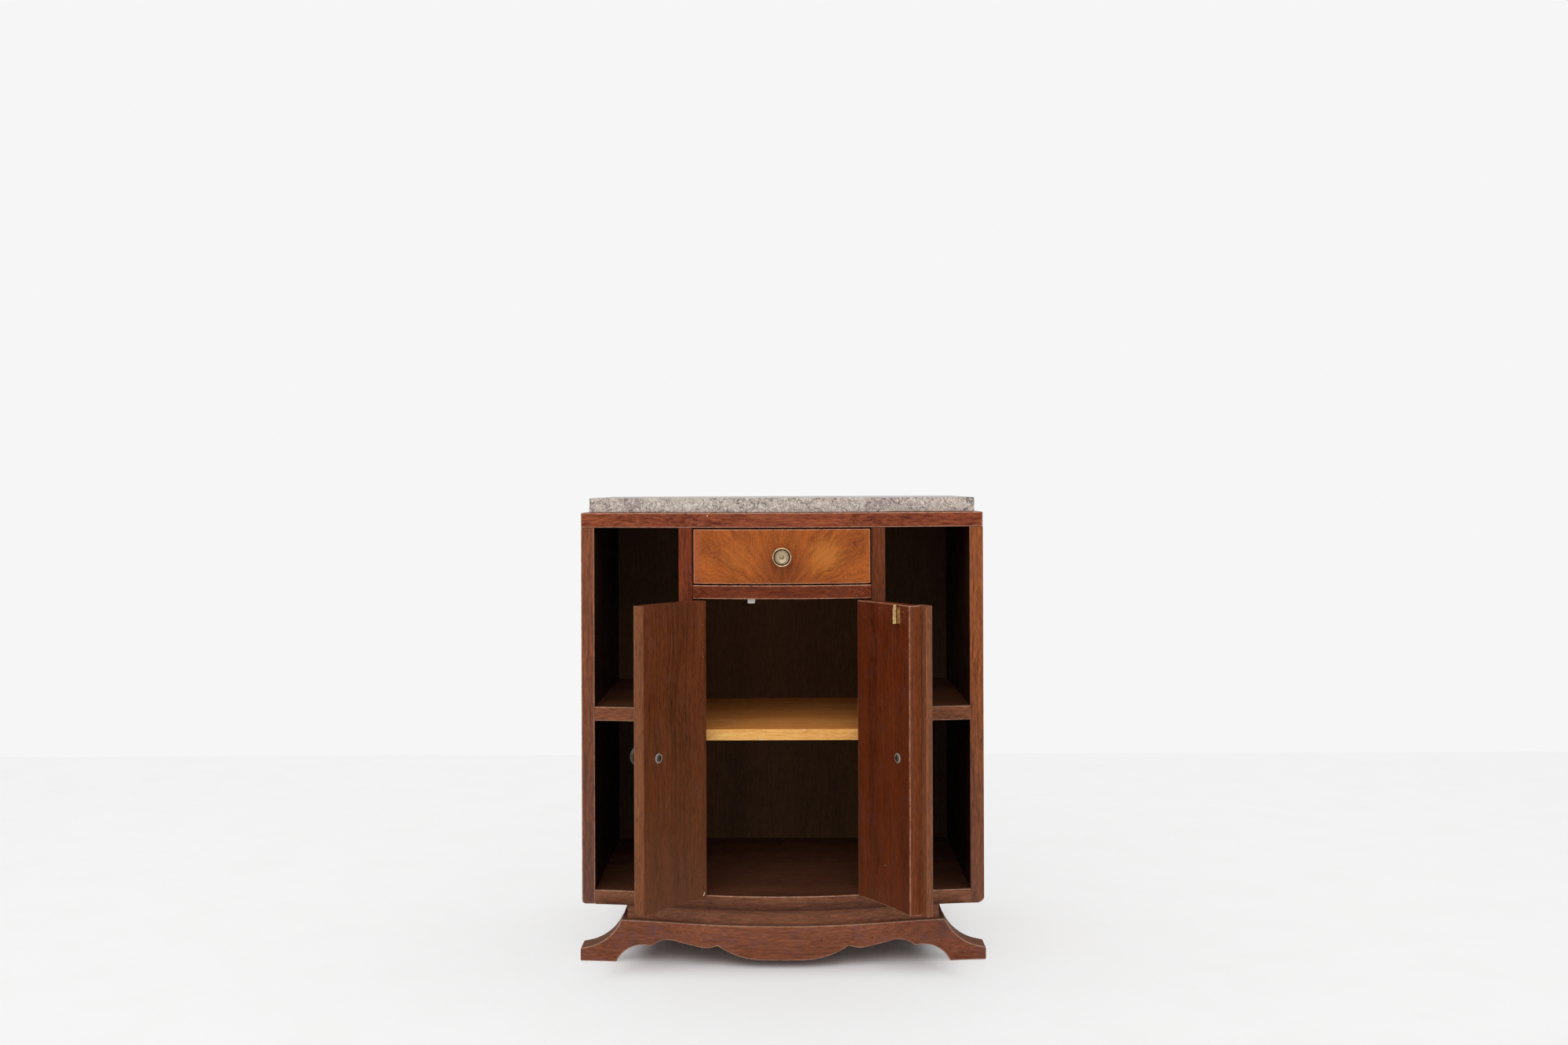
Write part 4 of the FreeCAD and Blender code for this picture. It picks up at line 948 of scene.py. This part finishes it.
class CABINET_OT_case(bpy.types.Operator):
    """Polish the boards of the case"""
    bl_idname = "cabinet.case"
    bl_label = "Case"

    def execute(self, context):
        for node, kind, axis in (("case_top", "top", "x"), ("drawer_rail", "red", "x"),
                                 ("left_partition", "red", "z"), ("right_partition", "brown", "z"),
                                 ("case_bottom", "bottom", "x"), ("left_side_shelf", "shelf", "x"),
                                 ("right_side_shelf", "shelf", "x"), ("left_side", "faded", "z")):
            finished_board(node, polished_mahogany(kind, axis))
        low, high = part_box("right_side")
        points = frame["nodes"]["right_side"].data.vertices
        front = min(vert.co.y for vert in points if vert.co.x > high.x - MM)
        corner = Vector((high.x, front, low.z)) - BREAK_WAY * context.scene.cabinet_sizes.corner_break
        finished_board("right_side", polished_mahogany("warm", "z"), breaks=[(corner, BREAK_WAY, 1.0)])
        # Painted shade, partly a dark stain, on the faces inside the case
        for node, inward, depth in INSIDE_SHADE:
            mark(bpy.data.objects[f"{node}.finished"], "inside", depth, Vector(inward), ALONG)
        return {"FINISHED"}


class CABINET_OT_plinth(bpy.types.Operator):
    """Polish the neck and the plinth with its flared feet"""
    bl_idname = "cabinet.plinth"
    bl_label = "Plinth"

    def execute(self, context):
        for prefix, kind, front in (("neck", "bottom", "front"), ("plinth", "plinth", "apron")):
            for end, axis in ((front, "x"), ("back", "x"), ("left", "y"), ("right", "y")):
                finished_board(f"{prefix}_{end}", polished_mahogany(kind, axis))
        finished_board("plinth_blocks", bare_wood("raw", "z"))
        return {"FINISHED"}


class CABINET_OT_marble(bpy.types.Operator):
    """Lay the marble slab"""
    bl_idname = "cabinet.marble"
    bl_label = "Marble"

    def execute(self, context):
        finished_board("marble_top", grey_marble(), context.scene.cabinet_sizes.stone_arris)
        return {"FINISHED"}


class CABINET_OT_inside(bpy.types.Operator):
    """Finish the woodwork inside the case: shelf, cleats, runners, stops, back and the painted block"""
    bl_idname = "cabinet.inside"
    bl_label = "Inside"

    def execute(self, context):
        colours, sizes = looks()
        shelf = finished_board("centre_shelf", bare_wood("pine", "x"))
        mark(shelf, "amber", AMBER, Vector((0, 0, 1)), ALONG)
        finished_board("back_panel", bare_wood("back", "z"))
        for node, axis in (("left_shelf_cleat", "y"), ("right_shelf_cleat", "y"), ("left_drawer_runner", "y"),
                           ("right_drawer_runner", "y"), ("drawer_stops", "x")):
            finished_board(node, bare_wood("raw", axis))
        paint = soiled_paint("white_oil_paint", colours.paint_clean, colours.paint_soiled, sizes.tarnish)
        finished_board("door_stop_block", paint)
        return {"FINISHED"}


class CABINET_OT_drawer(bpy.types.Operator):
    """Veneer the drawer's front and finish its box"""
    bl_idname = "cabinet.drawer"
    bl_label = "Drawer"

    def execute(self, context):
        low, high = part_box("drawer_front")
        piece = finished_board("drawer_front", figured_veneer((low.z + high.z) / 2))
        piece.data.materials.append(bare_wood("raw", "x"))
        for face in piece.data.polygons:
            face.material_index = 0 if face.normal.y < VENEERED else 1
        for node, axis in (("drawer_left_side", "y"), ("drawer_right_side", "y"), ("drawer_back", "x"),
                           ("drawer_bottom", "x")):
            finished_board(node, bare_wood("raw", axis))
        return {"FINISHED"}


class CABINET_OT_doors(bpy.types.Operator):
    """Polish the bowed doors and the strip that covers their gap"""
    bl_idname = "cabinet.doors"
    bl_label = "Doors"

    def execute(self, context):
        worn = context.scene.cabinet_sizes.door_round
        low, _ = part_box("left_door_panel")
        middle = Vector((low.x + worn, 0, low.z + worn))
        ways = [Vector((-math.cos(turn), 0, -math.sin(turn))) for turn in CORNER_TURNS]
        breaks = {"left": [(middle + worn * way, way, 0.0) for way in ways], "right": ()}
        for side, free in (("left", Vector((1, 0, 0))), ("right", Vector((-1, 0, 0)))):
            polish = polished_mahogany(f"{side}_door", "z")
            piece = finished_board(f"{side}_door_panel", polish, breaks=breaks[side])
            # Painted light on the faces of the free edge
            mark(piece, "edge", 1.0, door_turn(side).to_3x3() @ free, LIT_EDGE_ALONG)
        finished_board("astragal", polished_mahogany("astragal", "z"))
        for node in ("left_door_panel", "right_door_panel", "astragal"):
            for item in bpy.data.objects[f"{node}.finished"].data.attributes["arris"].data:
                item.value *= DOOR_WEAR
        return {"FINISHED"}


# Turned profile of a knob from its seat to the middle of its face: shares of its radius and length, and dirt
KNOB_SHARES = [
    (0.000, 0.000, 0.3), (0.480, 0.000, 0.6), (0.430, 0.060, 0.5), (0.375, 0.140, 0.4), (0.345, 0.240, 0.4),
    (0.350, 0.340, 0.4), (0.400, 0.440, 0.4), (0.500, 0.520, 0.4), (0.620, 0.580, 0.3), (0.740, 0.618, 0.2),
    (0.860, 0.665, 0.2), (0.945, 0.725, 0.1), (0.990, 0.780, 0.0), (1.000, 0.820, 0.0), (0.995, 0.870, 0.0),
    (0.972, 0.925, 0.0), (0.945, 0.965, 0.0), (0.915, 0.992, 0.0), (0.890, 1.000, 0.0), (0.862, 0.992, 0.0),
    (0.838, 0.970, 0.1), (0.818, 0.935, 0.5), (0.800, 0.900, 0.9), (0.780, 0.878, 1.0), (0.755, 0.870, 1.0),
    (0.728, 0.872, 0.9), (0.710, 0.885, 0.5), (0.694, 0.905, 0.1), (0.674, 0.920, 0.0), (0.652, 0.922, 0.0),
    (0.632, 0.908, 0.1), (0.615, 0.888, 0.6), (0.595, 0.874, 0.8), (0.570, 0.872, 0.3), (0.545, 0.876, 0.6),
    (0.520, 0.868, 0.7), (0.490, 0.858, 0.6), (0.462, 0.860, 0.2), (0.435, 0.850, 0.6), (0.405, 0.842, 0.5),
    (0.375, 0.844, 0.2), (0.345, 0.835, 0.6), (0.310, 0.829, 0.5), (0.280, 0.831, 0.2), (0.250, 0.822, 0.5),
    (0.222, 0.820, 0.8), (0.200, 0.832, 0.4), (0.180, 0.862, 0.1), (0.150, 0.890, 0.5), (0.105, 0.908, 0.6),
    (0.055, 0.917, 0.7), (0.000, 0.919, 0.7),
]
# The same for the stepped rose behind a knob
ROSE_SHARES = [
    (0.000, 0.000, 0.5), (1.000, 0.000, 0.6), (1.000, 0.400, 0.2), (0.985, 0.560, 0.0), (0.955, 0.700, 0.0),
    (0.905, 0.790, 0.1), (0.850, 0.830, 0.4), (0.810, 0.850, 0.7), (0.785, 0.900, 0.2), (0.750, 0.965, 0.0),
    (0.690, 1.000, 0.0), (0.560, 1.000, 0.4), (0.000, 1.000, 0.8),
]
# The same for the washer behind the wood, with the height of its dish, in which the screw's head lies
WASHER_DISH = 0.88
WASHER_SHARES = [
    (0.000, 0.000, 0.3), (1.000, 0.000, 0.3), (1.000, 0.550, 0.1), (0.975, 0.820, 0.0), (0.920, 0.980, 0.0),
    (0.860, 1.000, 0.0), (0.740, 0.960, 0.2), (0.670, WASHER_DISH, 0.6), (0.000, WASHER_DISH, 0.9),
]
# The slot in the head of a knob's screw
KNOB_SLOT = {"Slot width": 0.9 * MM, "Slot depth": 1.1 * MM}


class CABINET_OT_knobs(bpy.types.Operator):
    """Turn the three knobs with their roses, and the washers and screws behind them"""
    bl_idname = "cabinet.knobs"
    bl_label = "Knobs"

    def execute(self, context):
        sizes = context.scene.cabinet_sizes
        for prefix in ("drawer", "left_door", "right_door"):
            knob, rose, screw = (f"{prefix}_{part}" for part in ("knob", "knob_rose", "knob_screw"))
            centre = middle_of(rose)
            axis = (middle_of(knob) - centre).normalized()
            top = None
            for node, shares in ((rose, ROSE_SHARES), (knob, KNOB_SHARES)):
                points = [vert.co - centre for vert in frame["nodes"][node].data.vertices]
                heights = [point.dot(axis) for point in points]
                radius = max((point - axis * point.dot(axis)).length for point in points)
                # The knob's own seat is the rose's face: the bore behind it is filled by the screw
                seat = min(heights) if top is None else top
                top = max(heights)
                profile = [(r * radius, h * (top - seat), dirt) for r, h, dirt in shares]
                piece = turned(f"{node}.finished", profile, centre + axis * seat, axis)
                # The doors' knobs take nickel darkened by painted shade
                piece.data.materials.append(worn_metal("nickel" if prefix == "drawer" else "shaded_nickel"))
                stand_for(piece, node)
            heights = [(vert.co - centre).dot(axis) for vert in frame["nodes"][screw].data.vertices]
            back = min(heights) + sizes.knob_screw_rise + sizes.washer_board
            profile = [(r * sizes.washer, h * sizes.washer_board, dirt) for r, h, dirt in WASHER_SHARES]
            piece = turned(f"{screw}.finished", profile, centre + axis * back, -axis)
            piece.data.materials.append(worn_metal("steel"))
            stand_for(piece, screw)
            seat = centre + axis * (back - WASHER_DISH * sizes.washer_board)
            head = grown(f"{screw}.head", screw_tree(), [(seat, -axis, 1.0)],
                         {"Head radius": sizes.knob_screw_head, "Head rise": sizes.knob_screw_rise,
                          **KNOB_SLOT, "Seed": len(prefix), "Finish": worn_metal("dark_steel")},
                         frame["nodes"][screw]["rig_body"])
        return {"FINISHED"}


# Where the hinges' leaves face each other, from the middle of the case, and how far a knuckle reaches back
FRAME_LEAF, DOOR_LEAF, KNUCKLE = 135.5 * MM, 134.7 * MM, 4.5 * MM
# Half a hinge's height, its screws from the middle, and the slot in a screw's head
HINGE_HALF, SCREW_STEPS = 25 * MM, (-15 * MM, 15 * MM)
HINGE_SLOT = {"Slot width": 0.6 * MM, "Slot depth": 0.3 * MM}


class CABINET_OT_ironmongery(bpy.types.Operator):
    """Finish the hinges, the spring catch and its strike, and set the hinges' screws"""
    bl_idname = "cabinet.ironmongery"
    bl_label = "Hinges and catch"

    def execute(self, context):
        sizes = context.scene.cabinet_sizes
        for node, kind in (("left_hinge_frame_leaves", "brass"), ("right_hinge_frame_leaves", "brass"),
                           ("left_hinge_door_leaves", "brass"), ("right_hinge_door_leaves", "brass"),
                           ("catch_case", "brass"), ("catch_strike", "dark_brass"),
                           ("left_hinge_pins", "steel"), ("right_hinge_pins", "steel"),
                           ("catch_bolt", "brass")):
            finished_board(node, worn_metal(kind), sizes.metal_arris)
        values = {"Head radius": sizes.screw_head, "Head rise": sizes.screw_rise, **HINGE_SLOT, "Seed": 4,
                  "Finish": worn_metal("steel")}
        rows = {"carcass": [], "left_door": [], "right_door": []}
        for side, sign in (("left", -1), ("right", 1)):
            low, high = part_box(f"{side}_hinge_frame_leaves")
            turn = door_turn(side)
            depth = (hinge(side)["pos_m"][1] + KNUCKLE + high.y) / 2
            for middle in (low.z + HINGE_HALF, high.z - HINGE_HALF):
                for step in SCREW_STEPS:
                    fixed = Vector((sign * FRAME_LEAF, depth, middle + step))
                    closed = Vector((sign * DOOR_LEAF, depth, middle + step))
                    rows["carcass"].append((fixed, Vector((-sign, 0, 0)), 1.0))
                    rows[f"{side}_door"].append((turn @ closed, turn.to_3x3() @ Vector((sign, 0, 0)), 1.0))
        for body, places in rows.items():
            screws = grown(f"{body}_hinge_screws", screw_tree(), places, values, body)
        return {"FINISHED"}


def sight(px, py):
    """The direction in which the camera sees a pixel of the picture's frame."""
    focal = FRAME_WIDE * LENS / SENSOR
    across = (px - FRAME_WIDE / 2) / focal
    up = (FRAME_HIGH / 2 - py + SHIFT * FRAME_WIDE) / focal
    return GAZE.to_matrix() @ Vector((across, up, -1)).normalized()


# Chips by the board that carries them: where the picture shows each one, and its size in millimetres
CHIPS = {
    "case_top": [(902, 658, 1.0)],
    "centre_shelf": [(974, 931, 0.9), (1025, 931, 1.0), (1027, 931.2, 0.7), (968.5, 943.4, 0.9),
                     (971.5, 943.3, 1.1), (975.5, 943.3, 1.0), (1021, 943.2, 0.6)],
    "left_door_panel": [(898.6, 1139, 0.9), (898.2, 1140.4, 1.1), (897.6, 1142, 1.0)],
    "right_door_panel": [(1129, 1104, 0.5)],
}
# Duller scuffs, in the same way
SCUFFS = {
    "drawer_rail": [(1096, 754, 0.7), (1101, 756, 0.9), (1090, 757, 0.6), (1079, 755, 0.5), (1084, 752, 0.6),
                    (1099, 751, 0.7), (1075, 758, 0.7), (1093, 760, 0.8), (1087, 759, 0.5)],
    "right_door_panel": [(1122, 776, 0.8), (1152, 781, 1.1), (1155, 787, 0.9), (1150, 790, 0.8),
                         (1157, 778, 0.8)],
    "left_door_panel": [(896, 797, 0.8), (897, 838, 0.9), (897, 826, 0.7)],
}
# Shape of the flakes: shares of their size, the spacing of their ragged rim, and that of the soil on them
FLAKE = {"Thickness": 0.04, "Raggedness": 1.4, "Grit": 1.1 * MM, "Seed": 7}
FLAKE_SOIL = 1.5 * MM


class CABINET_OT_chips(bpy.types.Operator):
    """Lay small chips and scuffs where the polish has come off"""
    bl_idname = "cabinet.chips"
    bl_label = "Chips"

    def execute(self, context):
        colours = context.scene.cabinet_colours
        pale = soiled_paint("chipped_ground", colours.chip, colours.worn, FLAKE_SOIL)
        dull = soiled_paint("scuffed_polish", colours.scuff, colours.worn, FLAKE_SOIL)
        for title, marked, finish, slot in (("chips", CHIPS, pale, "white_paint"),
                                            ("scuffs", SCUFFS, dull, "pale_wood")):
            rows = {}
            for node, marks in marked.items():
                mesh = bpy.data.objects[f"{node}.finished"].data
                outside = BVHTree.FromPolygons([vert.co for vert in mesh.vertices],
                                               [face.vertices for face in mesh.polygons])
                for px, py, size in marks:
                    place, normal, _, _ = outside.ray_cast(EYE, sight(px, py))
                    if place is None:
                        raise RuntimeError(f"no place for {title} on {node} at {px}, {py}")
                    rows.setdefault(frame["nodes"][node]["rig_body"], []).append((place, normal, size * MM))
            for body, places in rows.items():
                made = grown(f"{body}_{title}", chip_tree(), places, {**FLAKE, "Finish": finish}, body)
        return {"FINISHED"}


class CABINET_OT_stage(bpy.types.Operator):
    """Set up the floor, the light and the camera"""
    bl_idname = "cabinet.stage"
    bl_label = "Stage"

    def execute(self, context):
        scene = context.scene
        scene.view_settings.view_transform = "Standard"
        world = bpy.data.worlds.new("white_room")
        world.use_nodes = True
        tree = world.node_tree
        tree.nodes.clear()
        white, backdrop = rgba((1, 1, 1)), rgba(scene.cabinet_colours.backdrop)
        light = add(tree, "ShaderNodeBackground", None, {"Color": white, "Strength": ROOM_LIGHT}).outputs[0]
        wall = add(tree, "ShaderNodeBackground", None, {"Color": backdrop, "Strength": 1.0}).outputs[0]
        mixed = add(tree, "ShaderNodeMixShader", None, {0: seen(tree), 1: light, 2: wall}).outputs[0]
        add(tree, "ShaderNodeOutputWorld", None, {"Surface": mixed})
        scene.world = world
        mesh = bpy.data.meshes.new("floor")
        mesh.from_pydata([(-FLOOR_HALF, -FLOOR_HALF, 0), (FLOOR_HALF, -FLOOR_HALF, 0),
                          (FLOOR_HALF, FLOOR_END, 0), (-FLOOR_HALF, FLOOR_END, 0)], [], [(0, 1, 2, 3)])
        floor = linked("floor", mesh)
        mesh.materials.append(pale_floor())
        lamp = bpy.data.lights.new("soft_lamp", "AREA")
        lamp.shape = "RECTANGLE"
        lamp.size, lamp.size_y = LAMP_SIZE
        lamp.energy = LAMP_POWER
        shade = linked("soft_lamp", lamp)
        shade.location = LAMP_PLACE
        shade.rotation_euler = (LAMP_AIM - LAMP_PLACE).to_track_quat("-Z", "Y").to_euler()
        camera = bpy.data.cameras.new("camera")
        camera.lens = LENS
        camera.sensor_width = SENSOR
        camera.shift_y = SHIFT
        viewer = linked("camera", camera)
        viewer.location = EYE
        viewer.rotation_euler = GAZE
        scene.camera = viewer
        return {"FINISHED"}


class CABINET_PT_panel(bpy.types.Panel):
    """List the cabinet's operators"""
    bl_idname = "CABINET_PT_panel"
    bl_label = "Cabinet"
    bl_space_type = "VIEW_3D"
    bl_region_type = "UI"
    bl_category = "Cabinet"

    def draw(self, context):
        for operator in OPERATORS:
            self.layout.operator(operator.bl_idname)


OPERATORS = (CABINET_OT_case, CABINET_OT_plinth, CABINET_OT_marble, CABINET_OT_inside, CABINET_OT_drawer,
             CABINET_OT_doors, CABINET_OT_knobs, CABINET_OT_ironmongery, CABINET_OT_chips, CABINET_OT_stage)
CLASSES = (CabinetColours, CabinetSizes, *OPERATORS, CABINET_PT_panel)


def register():
    """Register the classes and hang the settings on the scene."""
    for item in CLASSES:
        bpy.utils.register_class(item)
    bpy.types.Scene.cabinet_colours = bpy.props.PointerProperty(type=CabinetColours)
    bpy.types.Scene.cabinet_sizes = bpy.props.PointerProperty(type=CabinetSizes)


def unregister():
    """Take the settings and the classes away again."""
    del bpy.types.Scene.cabinet_sizes
    del bpy.types.Scene.cabinet_colours
    for item in reversed(CLASSES):
        bpy.utils.unregister_class(item)


def main():
    """Build every piece in order."""
    register()
    bpy.ops.cabinet.case()
    bpy.ops.cabinet.plinth()
    bpy.ops.cabinet.marble()
    bpy.ops.cabinet.inside()
    bpy.ops.cabinet.drawer()
    bpy.ops.cabinet.doors()
    bpy.ops.cabinet.knobs()
    bpy.ops.cabinet.ironmongery()
    bpy.ops.cabinet.chips()
    bpy.ops.cabinet.stage()


if __name__ == "__main__":
    main()
